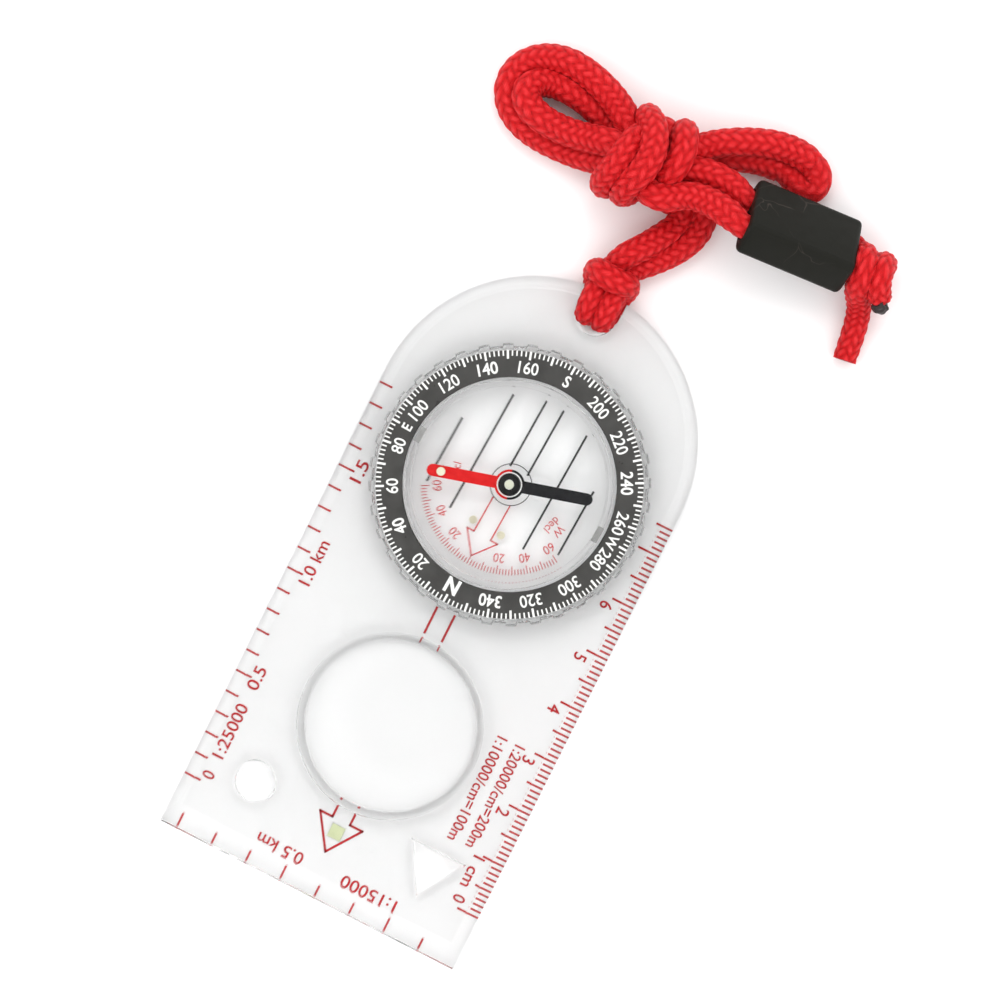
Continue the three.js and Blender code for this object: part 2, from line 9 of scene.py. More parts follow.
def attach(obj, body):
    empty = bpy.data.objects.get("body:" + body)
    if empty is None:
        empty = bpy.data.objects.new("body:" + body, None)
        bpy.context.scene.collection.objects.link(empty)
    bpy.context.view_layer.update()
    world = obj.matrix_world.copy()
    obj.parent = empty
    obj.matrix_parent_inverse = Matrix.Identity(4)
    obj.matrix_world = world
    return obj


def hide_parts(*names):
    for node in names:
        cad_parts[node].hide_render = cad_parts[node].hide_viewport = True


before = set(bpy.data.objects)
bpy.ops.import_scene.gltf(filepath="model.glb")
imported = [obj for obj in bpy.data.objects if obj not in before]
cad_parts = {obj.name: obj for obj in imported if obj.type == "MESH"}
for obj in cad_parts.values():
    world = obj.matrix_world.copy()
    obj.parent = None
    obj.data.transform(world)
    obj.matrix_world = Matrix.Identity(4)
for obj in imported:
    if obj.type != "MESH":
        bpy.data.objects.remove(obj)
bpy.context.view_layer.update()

# Baseplate compass: every length below is in millimetres in the CAD's own frame, with +Y along the
# direction of travel and the origin under the middle of the plate. Meshes are scaled to metres.
MM = 0.001

# ---- driving dimensions, the same as the CAD's ----
PLATE_WIDTH = 57
PLATE_LENGTH = 116.5
PLATE_HEIGHT = 3
RIM_HEIGHT = 2
SIDE_BEVEL = 2.2
FRONT_BEVEL = 4.2
FOOT_CHAMFER = 0.3
END_RADIUS = PLATE_WIDTH / 2
END_Y = END_RADIUS - PLATE_LENGTH / 2
DIAL_Y = -21.25
DIAL_TURN = math.radians(-2.8)
DIAL_HOLE_RADIUS = 19.7
DIAL_RECESS_RADIUS = 21.7
DIAL_RECESS_TOP = 1.15
LENS_Y = 25.45
LENS_RADIUS = 14.8
LENS_SEAT_RADIUS = 16.3
LENS_LEDGE_Z = 1.4
LENS_RISE = 1.6
CAPSULE_RADIUS = 17.95
CAPSULE_INNER_RADIUS = 16.9
CAPSULE_TOP = 9.6
WALL_TOP = 8.4
FLOOR_TOP = 1.45
BOSS_RADIUS = 3.3
BOSS_TOP = 1.85
SPIGOT_RADIUS = 19.4
GROOVE_RADIUS = 18.9
BEZEL_RADIUS = 23.85
BEZEL_BOTTOM = 3.15
BEZEL_SHELF = 5.1
BEZEL_TOP = 6.2
BEZEL_RIM_RADIUS = 23.4
TOOTH_COUNT = 36
TOOTH_HEIGHT = 0.5
DEGREE_RING_TOP = 5.95
NEEDLE_ANGLE = math.radians(15.7)
NEEDLE_TOP = 5.35
HOLE_Y = -53.95
HOLE_RADIUS = 3.1
LANYARD_HOLE_MOUTH = 0.5
TEMPLATE_MOUTH = 0.35
CIRCLE_TEMPLATE = (16.8, 44.75, 3.4)
TRIANGLE_TEMPLATE = (-17.2, 44.2, 5.43)
INLAY = (0.2, 46.3, 2.6, 0.35)  # centre x and y, side, height
LEVEL_NORMAL = 0.95  # a face of the plate whose normal is less upright than this is an edge
CHANNEL_HALF = 4
CHANNEL_TOP = 1.05

CORD_RADIUS = 2.45
SLIDER_LENGTH = 19.6
SLIDER_CENTRE = Vector((-25.4, -81.2, 8.5))
SLIDER_YAW = math.radians(4.4)
SLIDER_PITCH = math.radians(13)
SLIDER_ROLL = math.radians(43)
SLIDER_HOLE_OFFSET = 3.05
SLIDER_HOLE_RADIUS = 2.2
SLIDER_WIDTH = 12.4
SLIDER_THICKNESS = 7.5
SLIDER_CORNER = 1.3
SLIDER_EASE = 1.0
MELTED_END = Vector((-42.9, -76.7, 6.9))

# ---- camera, lights and floor ----
FRAME_WIDTH = 173.0  # what the picture spans at the plate
CAMERA_DISTANCE = 650
CAMERA_TILT = math.radians(4)
PICTURE_CENTRE = Vector((0.4, -18, 1.5))
PICTURE_UP = Vector((0.448, -0.894, 0))
PICTURE_RIGHT = Vector((-0.894, -0.448, 0))
FLOOR_Z = -0.05


def add_camera():
    back = (Vector((0, 0, 1)) + math.tan(CAMERA_TILT) * PICTURE_RIGHT).normalized()
    right = PICTURE_UP.cross(back).normalized()
    up = back.cross(right)
    data = bpy.data.cameras.new("camera")
    data.sensor_width = 36
    data.lens = data.sensor_width * CAMERA_DISTANCE / FRAME_WIDTH
    data.clip_start, data.clip_end = 0.01, 20
    camera = bpy.data.objects.new("camera", data)
    turn = Matrix((right, up, back)).transposed().to_4x4()
    camera.matrix_world = Matrix.Translation((PICTURE_CENTRE + back * CAMERA_DISTANCE) * MM) @ turn
    bpy.context.scene.collection.objects.link(camera)
    bpy.context.scene.camera = camera


def add_light(name, place, size, watts):
    data = bpy.data.lights.new(name, "AREA")
    data.shape = "DISK"
    data.size = size
    data.energy = watts
    light = bpy.data.objects.new(name, data)
    light.location = place
    aim = Vector((0, -0.02, 0)) - Vector(place)
    light.rotation_euler = aim.to_track_quat("-Z", "Y").to_euler()
    bpy.context.scene.collection.objects.link(light)


# Height in the sky, from horizon to overhead, and how bright it is there: a white tent open at the top.
SKY = ((0.0, 0.32), (0.45, 1.0), (0.93, 1.0), (0.97, 0.12))
SKY_STRENGTH = 1.6


def add_world():
    world = bpy.data.worlds.new("studio")
    bpy.context.scene.world = world
    world.use_nodes = True
    nodes, links = world.node_tree.nodes, world.node_tree.links
    nodes.clear()
    place = nodes.new("ShaderNodeTexCoord")
    split = nodes.new("ShaderNodeSeparateXYZ")
    ramp = nodes.new("ShaderNodeValToRGB")
    background = nodes.new("ShaderNodeBackground")
    output = nodes.new("ShaderNodeOutputWorld")
    while len(ramp.color_ramp.elements) < len(SKY):
        ramp.color_ramp.elements.new(0.5)
    for element, (height, grey) in zip(ramp.color_ramp.elements, SKY):
        element.position = height
        element.color = (grey, grey, grey, 1)
    background.inputs["Strength"].default_value = SKY_STRENGTH
    links.new(place.outputs["Generated"], split.inputs[0])
    links.new(split.outputs["Z"], ramp.inputs["Fac"])
    links.new(ramp.outputs["Color"], background.inputs["Color"])
    links.new(background.outputs[0], output.inputs["Surface"])


# ---- materials ----
class Nodes:
    """A new material's node tree, with short calls to add and link nodes."""

    def __init__(self, name):
        self.material = bpy.data.materials.new(name)
        self.material.use_nodes = True
        self.tree = self.material.node_tree
        self.tree.nodes.clear()
        self.shader = self.add("ShaderNodeBsdfPrincipled")
        output = self.add("ShaderNodeOutputMaterial")
        self.link(self.shader.outputs[0], output.inputs["Surface"])

    def add(self, kind, **values):
        node = self.tree.nodes.new(kind)
        for key, value in values.items():
            setattr(node, key, value)
        return node

    def link(self, source, target):
        self.tree.links.new(source, target)

    def set(self, **values):
        for key, value in values.items():
            socket = self.shader.inputs[key.replace("_", " ")]
            socket.default_value = (*value, 1) if isinstance(value, tuple) else value

    def place(self):
        return self.add("ShaderNodeTexCoord").outputs["Object"]

    def math(self, operation, first, second=None, third=None):
        node = self.add("ShaderNodeMath", operation=operation)
        for socket, value in zip(node.inputs, (first, second, third)):
            if value is None:
                continue
            if isinstance(value, (int, float)):
                socket.default_value = value
            else:
                self.link(value, socket)
        return node.outputs[0]

    def noise(self, size, detail=4, stretch=(1, 1, 1)):
        """A noise whose features are about size millimetres across."""
        mapping = self.add("ShaderNodeMapping")
        mapping.inputs["Scale"].default_value = stretch
        self.link(self.place(), mapping.inputs["Vector"])
        node = self.add("ShaderNodeTexNoise")
        node.inputs["Scale"].default_value = 1 / (size * MM)
        node.inputs["Detail"].default_value = detail
        self.link(mapping.outputs[0], node.inputs["Vector"])
        return node.outputs["Fac"]

    def spread(self, value, low, high, start=0.3, end=0.7):
        node = self.add("ShaderNodeMapRange")
        self.link(value, node.inputs["Value"])
        sockets = ("From Min", "From Max", "To Min", "To Max")
        for name, number in zip(sockets, (start, end, low, high)):
            node.inputs[name].default_value = number
        return node.outputs[0]

    def ramp(self, value, *stops):
        node = self.add("ShaderNodeValToRGB")
        elements = node.color_ramp.elements
        while len(elements) < len(stops):
            elements.new(0.5)
        for element, (position, colour) in zip(elements, stops):
            element.position = position
            element.color = (*colour, 1)
        self.link(value, node.inputs["Fac"])
        return node.outputs["Color"]

    def bump(self, height, strength, distance):
        node = self.add("ShaderNodeBump")
        node.inputs["Strength"].default_value = strength
        node.inputs["Distance"].default_value = distance * MM
        self.link(height, node.inputs["Height"])
        self.link(node.outputs[0], self.shader.inputs["Normal"])

    def roughen(self, value):
        self.link(value, self.shader.inputs["Roughness"])

    def colour(self, value):
        self.link(value, self.shader.inputs["Base Color"])


def clear_plastic(name, body, bending=1.49):
    """Clear plastic; body is the share of the light it bends, and the rest goes straight through.
    Acrylic's own values, 1 and 1.49, render grey under many surfaces, so most pieces bend less."""
    made = Nodes(name)
    made.set(Transmission_Weight=1.0, IOR=bending, Alpha=body)
    made.colour(made.ramp(made.noise(20, 2), (0.3, (0.995, 1.0, 0.998)), (0.7, (1.0, 1.0, 1.0))))
    made.roughen(made.spread(made.noise(14), 0.0, 0.008))
    made.bump(made.noise(0.9, 2, (1, 0.12, 1)), 0.05, 0.02)
    return made.material


def ink(name, light, dark, roughness=0.45):
    """Printed ink: slightly uneven in density and gloss."""
    made = Nodes(name)
    made.colour(made.ramp(made.noise(0.5, 3), (0.35, dark), (0.65, light)))
    made.roughen(made.spread(made.noise(1.5), roughness - 0.08, roughness + 0.08))
    return made.material


def brushed_steel():
    made = Nodes("spring_steel")
    made.set(Base_Color=(0.62, 0.63, 0.65), Metallic=1.0)
    made.roughen(made.spread(made.noise(0.4, 3, (1, 6, 1)), 0.2, 0.36))
    made.bump(made.noise(0.3, 2), 0.1, 0.01)
    return made.material


def moulded(name, light, dark, roughness, grain=0.35, depth=0.02):
    made = Nodes(name)
    made.colour(made.ramp(made.noise(3.5), (0.3, dark), (0.7, light)))
    made.roughen(made.spread(made.noise(1.8), roughness - 0.07, roughness + 0.07))
    made.bump(made.noise(grain, 3), 0.25, depth)
    made.set(Specular_IOR_Level=0.3)
    return made.material


def needle_paint():
    """Red towards the needle's north end and black towards its south end."""
    made = Nodes("needle_paint")
    along = made.add("ShaderNodeVectorMath", operation="DOT_PRODUCT")
    along.inputs[1].default_value = (math.cos(NEEDLE_ANGLE), math.sin(NEEDLE_ANGLE), 0)
    made.link(made.place(), along.inputs[0])
    axis = DIAL_Y * math.sin(NEEDLE_ANGLE) * MM
    north = made.spread(made.math("SUBTRACT", along.outputs["Value"], axis), 0, 1, -0.02 * MM, 0.02 * MM)
    mottle = made.noise(0.9, 3)
    red = made.ramp(mottle, (0.3, (0.52, 0.004, 0.005)), (0.7, (0.62, 0.008, 0.008)))
    black = made.ramp(mottle, (0.3, (0.006, 0.006, 0.007)), (0.7, (0.014, 0.014, 0.016)))
    mix = made.add("ShaderNodeMix", data_type="RGBA")
    made.link(north, mix.inputs["Factor"])
    made.link(black, mix.inputs[6])
    made.link(red, mix.inputs[7])
    made.colour(mix.outputs[2])
    made.roughen(made.spread(mottle, 0.28, 0.42))
    made.bump(made.noise(0.25, 2), 0.12, 0.01)
    made.set(Specular_IOR_Level=0.3)
    return made.material


def slider_plastic():
    """Matt black plastic with a few fine, wandering scratches."""
    made = Nodes("black_plastic")
    warp = made.noise(7, 2)
    place = made.add("ShaderNodeVectorMath", operation="SCALE")
    made.link(made.place(), place.inputs[0])
    made.link(made.spread(warp, 0.96, 1.04), place.inputs["Scale"])
    wave = made.add("ShaderNodeTexVoronoi", feature="DISTANCE_TO_EDGE")
    wave.inputs["Scale"].default_value = 1 / (9 * MM)
    made.link(place.outputs[0], wave.inputs["Vector"])
    scratch = made.spread(wave.outputs["Distance"], 1, 0, 0.0, 0.012)
    broken = made.math("MULTIPLY", scratch, made.spread(made.noise(5, 2), 0, 1, 0.5, 0.6))
    made.colour(made.ramp(broken, (0.0, (0.009, 0.009, 0.0065)), (1.0, (0.040, 0.033, 0.028))))
    made.roughen(made.spread(made.noise(2.2), 0.42, 0.55))
    made.bump(made.math("ADD", made.noise(0.2, 3), broken), 0.15, 0.015)
    made.set(Specular_IOR_Level=0.12)
    return made.material


BRAID_YARNS = 10  # yarns that lean each way
BRAID_PITCH = 18.0  # length in which a yarn goes once round the cord
FIBRES = 5  # bundles of fibre across a yarn


def braided_cord():
    """Red polyester braid: fibres run along each stitch, and painted shade darkens the valleys between
    stitches.
    """
    made = Nodes("red_cord")
    uv = made.add("ShaderNodeUVMap", uv_map="braid")
    split = made.add("ShaderNodeSeparateXYZ")
    made.link(uv.outputs[0], split.inputs[0])
    along, around = split.outputs["X"], split.outputs["Y"]
    turns = made.math("DIVIDE", along, BRAID_PITCH)
    lines = []
    for operation in ("ADD", "SUBTRACT"):
        yarn = made.math("MULTIPLY", made.math(operation, around, turns), BRAID_YARNS * FIBRES)
        lines.append(made.math("PINGPONG", yarn, 0.5))
    lean = made.add("ShaderNodeAttribute", attribute_name="braid_lean").outputs["Fac"]
    fibre = made.add("ShaderNodeMix", data_type="FLOAT")
    made.link(lean, fibre.inputs["Factor"])
    made.link(lines[1], fibre.inputs[2])
    made.link(lines[0], fibre.inputs[3])
    height = made.add("ShaderNodeAttribute", attribute_name="braid_height").outputs["Fac"]
    mottle = made.noise(0.8, 5)
    # Painted shade: the braid's relief (braid_height) darkens the colour in the valleys between stitches and
    # lightens it on their crests; the ramp's darkest stop is that painted valley shade.
    shade = made.math("MULTIPLY_ADD", mottle, 0.42, made.math("MULTIPLY", height, 0.66))
    shade = made.math("MULTIPLY_ADD", fibre.outputs[0], 0.34, shade)
    made.colour(
        made.ramp(
            shade,
            (0.22, (0.07, 0.0005, 0.001)),
            (0.5, (0.40, 0.002, 0.004)),
            (0.8, (0.58, 0.004, 0.007)),
            (1.0, (0.78, 0.032, 0.038)),
        )
    )
    made.roughen(made.spread(mottle, 0.38, 0.58))
    made.bump(made.math("MULTIPLY_ADD", mottle, 0.7, fibre.outputs[0]), 0.9, 0.15)
    made.set(Sheen_Weight=0.03, Sheen_Roughness=0.4, Specular_IOR_Level=0.16)
    return made.material


def add_floor():
    floor = bpy.data.materials.new("floor_white")
    floor.use_nodes = True
    shader = floor.node_tree.nodes["Principled BSDF"]
    shader.inputs["Base Color"].default_value = (0.94, 0.94, 0.94, 1)
    shader.inputs["Roughness"].default_value = 0.9
    shader.inputs["Specular IOR Level"].default_value = 0.1
    mesh = bpy.data.meshes.new("floor")
    reach = 3
    corners = [(-reach, -reach), (reach, -reach), (reach, reach), (-reach, reach)]
    mesh.from_pydata([(x, y, FLOOR_Z * MM) for x, y in corners], [], [(0, 1, 2, 3)])
    mesh.materials.append(floor)
    plane = bpy.data.objects.new("floor", mesh)
    bpy.context.scene.collection.objects.link(plane)


# ---- mesh helpers ----
TURNED_STEPS = 240


def new_object(name, points, faces, material=None):
    mesh = bpy.data.meshes.new(name)
    mesh.from_pydata((np.asarray(points, float) * MM).tolist(), [], faces)
    mesh.validate()
    mesh.update()
    if material:
        mesh.materials.append(material)
    made = bpy.data.objects.new(name, mesh)
    bpy.context.scene.collection.objects.link(made)
    return made


def smooth(made, angle=30):
    made.data.shade_smooth()
    made.data.set_sharp_from_angle(angle=math.radians(angle))


def dress(made, *materials):
    made.data.materials.clear()
    for material in materials:
        made.data.materials.append(material)


def settle(made, body, nodes=()):
    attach(made, body)
    if nodes:
        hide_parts(*nodes)
    return made


def to_dial(points):
    """Points made round the dial's axis, moved to where the dial is at rest."""
    points = np.asarray(points, float)
    c, s = math.cos(DIAL_TURN), math.sin(DIAL_TURN)
    x, y = points[:, 0], points[:, 1]
    return np.stack([x * c - y * s, x * s + y * c + DIAL_Y, points[:, 2]], 1)


def turned_mesh(profile, steps=192):
    """Points and faces of a solid of revolution.
    The profile runs anticlockwise, and either starts and ends on the axis or is closed."""
    open_ended = profile[0][0] == 0
    points, faces = [], []
    rings = []
    for radius, z in profile:
        if radius == 0:
            rings.append([len(points)])
            points.append((0, 0, z))
            continue
        rings.append(list(range(len(points), len(points) + steps)))
        for step in range(steps):
            angle = 2 * math.pi * step / steps
            points.append((radius * math.cos(angle), radius * math.sin(angle), z))
    pairs = list(zip(rings, rings[1:])) + ([] if open_ended else [(rings[-1], rings[0])])
    for low, high in pairs:
        for step in range(steps):
            after = (step + 1) % steps
            below = [low[i % len(low)] for i in (step, after)]
            above = [high[i % len(high)] for i in (after, step)]
            face = list(dict.fromkeys(below + above))
            if len(face) > 2:
                faces.append(face)
    return points, faces


def eased(profile, ease=0.12):
    """The profile with each corner off the axis cut back a little, as a moulded edge is."""
    closed = profile[0][0] > 0
    made = []
    count = len(profile)
    for i, corner in enumerate(profile):
        if not closed and i in (0, count - 1):
            made.append(corner)
            continue
        here = Vector(corner)
        for other in (profile[i - 1], profile[(i + 1) % count]):
            step = Vector(other) - here
            made.append(tuple(here + step.normalized() * min(ease, step.length * 0.4)))
    return made


def stacked_mesh(levels):
    """A closed solid through outlines of equal count, each at its own height."""
    count = len(levels[0][0])
    points = [(x, y, z) for outline, z in levels for x, y in outline]
    faces = [list(range(count))[::-1], [len(points) - count + i for i in range(count)]]
    for level in range(len(levels) - 1):
        for i in range(count):
            a = level * count + i
            b = level * count + (i + 1) % count
            faces.append([a, b, b + count, a + count])
    return points, faces


def moved(points, x, y, z=0):
    return [(px + x, py + y, pz + z) for px, py, pz in points]


def carved(name, body, cutters):
    """The body with every cutter taken out of it; each is a pair of points and faces."""
    base = new_object(name, *body)
    tools = []
    for i, (points, faces) in enumerate(cutters):
        tool = new_object(f"{name}_cutter_{i}", points, faces)
        modifier = base.modifiers.new("cut", "BOOLEAN")
        modifier.operation, modifier.solver, modifier.object = "DIFFERENCE", "EXACT", tool
        tools.append(tool)
    bpy.context.view_layer.update()
    evaluated = base.evaluated_get(bpy.context.evaluated_depsgraph_get())
    mesh = bpy.data.meshes.new_from_object(evaluated)
    base.modifiers.clear()
    base.data = mesh
    for tool in tools:
        bpy.data.objects.remove(tool)
    return base


# ---- lanyard ----
def slider_axes():
    """The slider's long axis, and the direction from one of its holes to the other."""
    level = math.cos(SLIDER_PITCH)
    axis = Vector((level * math.cos(SLIDER_YAW), level * math.sin(SLIDER_YAW), math.sin(SLIDER_PITCH)))
    side = Vector((math.sin(SLIDER_YAW), -math.cos(SLIDER_YAW), 0))
    up = side.cross(axis)
    return axis, side * math.cos(SLIDER_ROLL) - up * math.sin(SLIDER_ROLL)


def slider_run(side):
    """The way through one of the slider's two holes, from its left end to its right end."""
    axis, width = slider_axes()
    offset = width * (side * SLIDER_HOLE_OFFSET)
    reach = SLIDER_LENGTH / 2 + 0.6
    return [tuple(SLIDER_CENTRE + offset + axis * (reach * t)) for t in (-1, -0.5, 0, 0.5, 1)]


# Each stretch of the lanyard: how firmly its points stay put, the cord's thickness there, and its points.
LOOSE, FIRM, TIGHT, FIXED = 0.05, 0.3, 0.8, 1.0
LANYARD = [
    (TIGHT, 0.84, [  # short end, fused, and the outer turn of the end knot
        (-42.3, -78.0, 6.6), (-41.7, -78.8, 7.6), (-40.9, -80.0, 8.6), (-40.3, -81.6, 9.0),
        (-40.4, -83.0, 7.4), (-40.6, -83.8, 4.6), (-39.9, -83.2, 2.5), (-38.8, -81.9, 2.7),
        (-37.6, -80.9, 4.6), (-36.7, -80.1, 7.2),
    ]),
    (FIXED, 0.84, slider_run(-1)),
    (LOOSE, 1.0, [  # from the slider straight through the centre knot
        (-13.4, -79.4, 12.5), (-10.0, -80.1, 11.8), (-6.4, -80.6, 11.0), (-2.6, -80.8, 10.0),
        (1.2, -80.6, 9.0), (4.8, -79.6, 7.8), (8.2, -78.6, 6.6),
    ]),
    (LOOSE, 1.02, [  # outer loop
        (11.6, -77.8, 5.2), (15.6, -77.0, 3.4), (20.0, -76.9, 2.6), (25.0, -77.2, 2.5),
        (29.0, -79.0, 2.5), (31.5, -82.4, 2.5), (31.4, -86.6, 2.9), (28.6, -90.0, 3.8),
        (24.0, -91.4, 4.8), (19.6, -90.9, 5.8), (15.0, -89.4, 6.6), (11.2, -87.8, 7.0),
        (7.6, -86.8, 7.0),
    ]),
    (LOOSE, 1.0, [  # through the knot and round the bight
        (3.4, -86.6, 7.4), (-0.6, -87.2, 7.2), (-4.4, -88.8, 6.8), (-8.2, -90.8, 6.4),
        (-11.8, -92.3, 6.0), (-16.0, -93.6, 5.6), (-20.0, -94.0, 4.9), (-23.3, -93.0, 4.2),
        (-24.9, -91.0, 3.4), (-24.7, -88.9, 2.6), (-23.2, -88.3, 2.4), (-21.6, -90.0, 2.3),
        (-19.2, -91.7, 2.3), (-15.6, -91.7, 2.3), (-11.6, -90.5, 2.3), (-7.6, -88.7, 2.3),
        (-4.0, -87.0, 2.6), (-1.0, -85.4, 3.6),
    ]),
    (TIGHT, 0.95, [  # into the knot and three times round it
        (2.5, -84.4, 5.2), (5.0, -84.9, 7.8), (6.5, -84.3, 10.4), (7.1, -81.8, 12.1),
        (7.6, -78.6, 11.9), (8.3, -75.6, 9.4), (8.5, -74.4, 6.0), (7.8, -75.6, 3.2),
        (6.7, -79.0, 2.3), (6.4, -83.6, 2.3), (6.6, -86.6, 3.4), (6.7, -87.7, 6.6),
        (6.0, -87.3, 9.8), (4.2, -85.6, 12.4), (2.9, -82.4, 13.4), (3.2, -79.0, 12.9),
        (4.5, -76.0, 10.6), (5.2, -74.6, 7.4), (4.6, -75.1, 4.2), (3.2, -77.4, 2.4),
        (2.0, -81.0, 2.3), (1.0, -84.8, 2.4), (0.4, -87.0, 4.2), (0.1, -87.8, 7.2),
        (-0.6, -87.0, 9.6), (-1.6, -84.6, 10.9), (-1.2, -81.6, 10.2), (-0.2, -79.2, 8.0),
    ]),
    (LOOSE, 0.92, [  # out of the knot as the first lead
        (0.4, -77.7, 5.8), (-1.6, -77.6, 3.8), (-4.0, -78.4, 2.7), (-6.2, -77.8, 2.4),
        (-7.1, -75.4, 2.6), (-6.6, -72.6, 3.4), (-5.2, -70.0, 4.6), (-3.4, -67.4, 5.4),
        (-1.2, -65.2, 5.2),
    ]),
    (FIXED, 0.86, [  # over the rim, down the hole and back under the plate
        (0.6, -63.2, 4.2), (1.4, -61.0, 3.9), (1.6, -58.8, 4.7), (1.6, -56.4, 5.0),
        (1.5, -54.5, 4.2), (1.4, -53.4, 2.2), (1.5, -53.7, 0.9), (1.8, -55.0, 0.55),
        (2.1, -57.0, 0.55), (2.4, -58.9, 0.8),
    ]),
    (FIXED, 0.9, [  # the band across the leads
        (2.9, -60.0, 2.0), (3.1, -60.7, 4.0), (2.6, -60.9, 6.0), (1.5, -60.7, 7.2),
        (0.1, -60.5, 7.5), (-1.3, -60.6, 7.2), (-2.5, -60.8, 6.0), (-2.9, -60.7, 4.0),
        (-2.8, -60.0, 2.0),
    ]),
    (FIXED, 0.86, [  # under the plate, up the hole and over the rim
        (-2.4, -58.9, 0.8), (-2.1, -57.0, 0.55), (-1.8, -55.0, 0.55), (-1.5, -53.7, 0.9),
        (-1.4, -53.4, 2.2), (-1.5, -54.5, 4.2), (-1.6, -56.4, 5.0), (-1.6, -58.8, 4.7),
        (-1.6, -61.0, 3.4), (-2.0, -63.4, 2.5),
    ]),
    (LOOSE, 0.92, [  # second lead, under the first, and through the knot
        (-3.4, -66.0, 2.2), (-5.4, -68.6, 2.2), (-7.7, -71.0, 2.2), (-9.6, -73.6, 2.3),
        (-10.2, -76.4, 2.3), (-9.4, -79.2, 2.3), (-7.0, -81.2, 2.4), (-3.6, -82.0, 2.7),
        (0.0, -81.6, 4.2), (3.6, -80.6, 5.4), (7.4, -82.0, 4.8),
    ]),
    (LOOSE, 1.02, [  # inner loop, which lies on the outer one at its far end
        (11.6, -84.2, 3.2), (15.5, -86.0, 2.5), (20.0, -86.9, 2.5), (24.4, -87.0, 3.2),
        (27.8, -85.8, 4.8), (29.4, -83.2, 5.8), (28.2, -80.6, 6.2), (24.8, -79.4, 6.4),
        (20.0, -79.4, 6.6), (15.5, -80.0, 7.2), (11.8, -80.8, 8.2), (8.0, -81.8, 8.8),
    ]),
    (LOOSE, 0.98, [  # through the knot to the slider
        (4.4, -83.0, 9.2), (0.6, -83.8, 9.4), (-3.2, -84.4, 9.4), (-7.6, -84.8, 9.2),
        (-11.8, -84.4, 9.0),
    ]),
    (FIXED, 0.84, slider_run(1)[::-1]),
    (TIGHT, 0.88, [  # inner turn of the end knot
        (-36.0, -83.2, 4.6), (-37.0, -83.4, 6.6), (-37.4, -82.6, 8.6), (-37.5, -81.0, 9.4),
        (-37.6, -79.2, 8.6), (-38.1, -77.8, 6.6), (-39.1, -76.7, 4.2),
    ]),
    (FIRM, 0.82, [  # tail
        (-40.2, -75.2, 2.6), (-40.9, -72.2, 2.1), (-41.3, -69.0, 2.0), (-41.7, -66.0, 2.0),
    ]),
]
MEETING = 7.85  # stretch and share at which the lanyard's two halves meet, under the plate
HITCH_STRETCHES = (6.5, 10.5)  # the stretches that pass the plate's rim and its hole
CENTRE_STEP = 1.2  # spacing of the points that are settled
RELAX_ROUNDS = 260
CONTACT = 0.82  # strands may press into each other this far
NEIGHBOUR_REACH = 8.0  # lengths along the cord closer than this don't collide
RINGS_PER_MM = 3.8
SEGMENTS = 80
RELIEF = 0.42  # how far the yarns stand out


def between(first, second, start, end, t):
    """Where t puts a point on the straight way from first, at start, to second, at end."""
    return ((end - t) * first + (t - start) * second) / (end - start)


def spline(points, step):
    """Points about step apart on a centripetal curve through the given points.
    With each comes where it falls in the list of given points."""
    points = np.asarray(points, float)
    ends = np.vstack([2 * points[0] - points[1], points, 2 * points[-1] - points[-2]])
    made, where = [], []
    for i in range(len(points) - 1):
        given = ends[i : i + 4]
        spans = [np.linalg.norm(b - a) for a, b in zip(given, given[1:])]
        chord = spans[1]
        knots = np.cumsum([0] + [max(span, 1e-6) ** 0.5 for span in spans])
        count = max(int(math.ceil(chord / (step * 0.25))), 2)
        for t in np.linspace(knots[1], knots[2], count, endpoint=False):
            ways = [between(*given[k : k + 2], *knots[k : k + 2], t) for k in range(3)]
            ways = [between(*ways[k : k + 2], knots[k], knots[k + 2], t) for k in range(2)]
            made.append(between(*ways, knots[1], knots[2], t))
            where.append(i + (t - knots[1]) / (knots[2] - knots[1]))
    made.append(points[-1])
    where.append(len(points) - 1)
    return evenly(np.array(made), np.array(where), step)


def evenly(points, where, step):
    """The line through the points, resampled to an even spacing near step."""
    along = np.concatenate([[0], np.cumsum(np.linalg.norm(np.diff(points, axis=0), axis=1))])
    count = int(round(along[-1] / step)) + 1
    marks = np.linspace(0, along[-1], count)
    line = np.stack([np.interp(marks, along, points[:, k]) for k in range(3)], 1)
    return line, np.interp(marks, along, where)


def settled(points, hold, radius):
    """The line after gravity, contact between strands, the floor and the slider have pushed it into place."""
    rest = points.copy()
    step = np.linalg.norm(np.diff(points, axis=0), axis=1).mean()
    index = np.arange(len(points))
    apart = np.abs(index[:, None] - index[None]) * step > NEIGHBOUR_REACH
    reach = (radius[:, None] + radius[None]) * CONTACT
    free = (1 - hold)[:, None]
    for _ in range(RELAX_ROUNDS):
        points[:, 2] -= 0.02 * free[:, 0]
        middle = (points[:-2] + points[2:]) / 2
        points[1:-1] += 0.2 * free[1:-1] * (middle - points[1:-1])
        delta = points[:, None] - points[None]
        distance = np.linalg.norm(delta, axis=2) + 1e-9
        depth = np.where(apart, np.clip(reach - distance, 0, None), 0)
        push = (delta * (depth / distance)[:, :, None]).sum(1)
        count = np.maximum((depth > 0).sum(1), 1)[:, None]
        points += 0.6 * free * push / count
        points += (0.12 * hold * hold)[:, None] * (rest - points) + 0.012 * (rest - points)
        links = np.diff(points, axis=0)
        length = np.linalg.norm(links, axis=1)[:, None]
        shift = 0.25 * links * (length - step) / length
        points[:-1] += shift * free[:-1]
        points[1:] -= shift * free[1:]
        points[:, 2] = np.where(hold < 1, np.maximum(points[:, 2], radius * 0.94), points[:, 2])
        points[hold >= 1] = rest[hold >= 1]
    return points


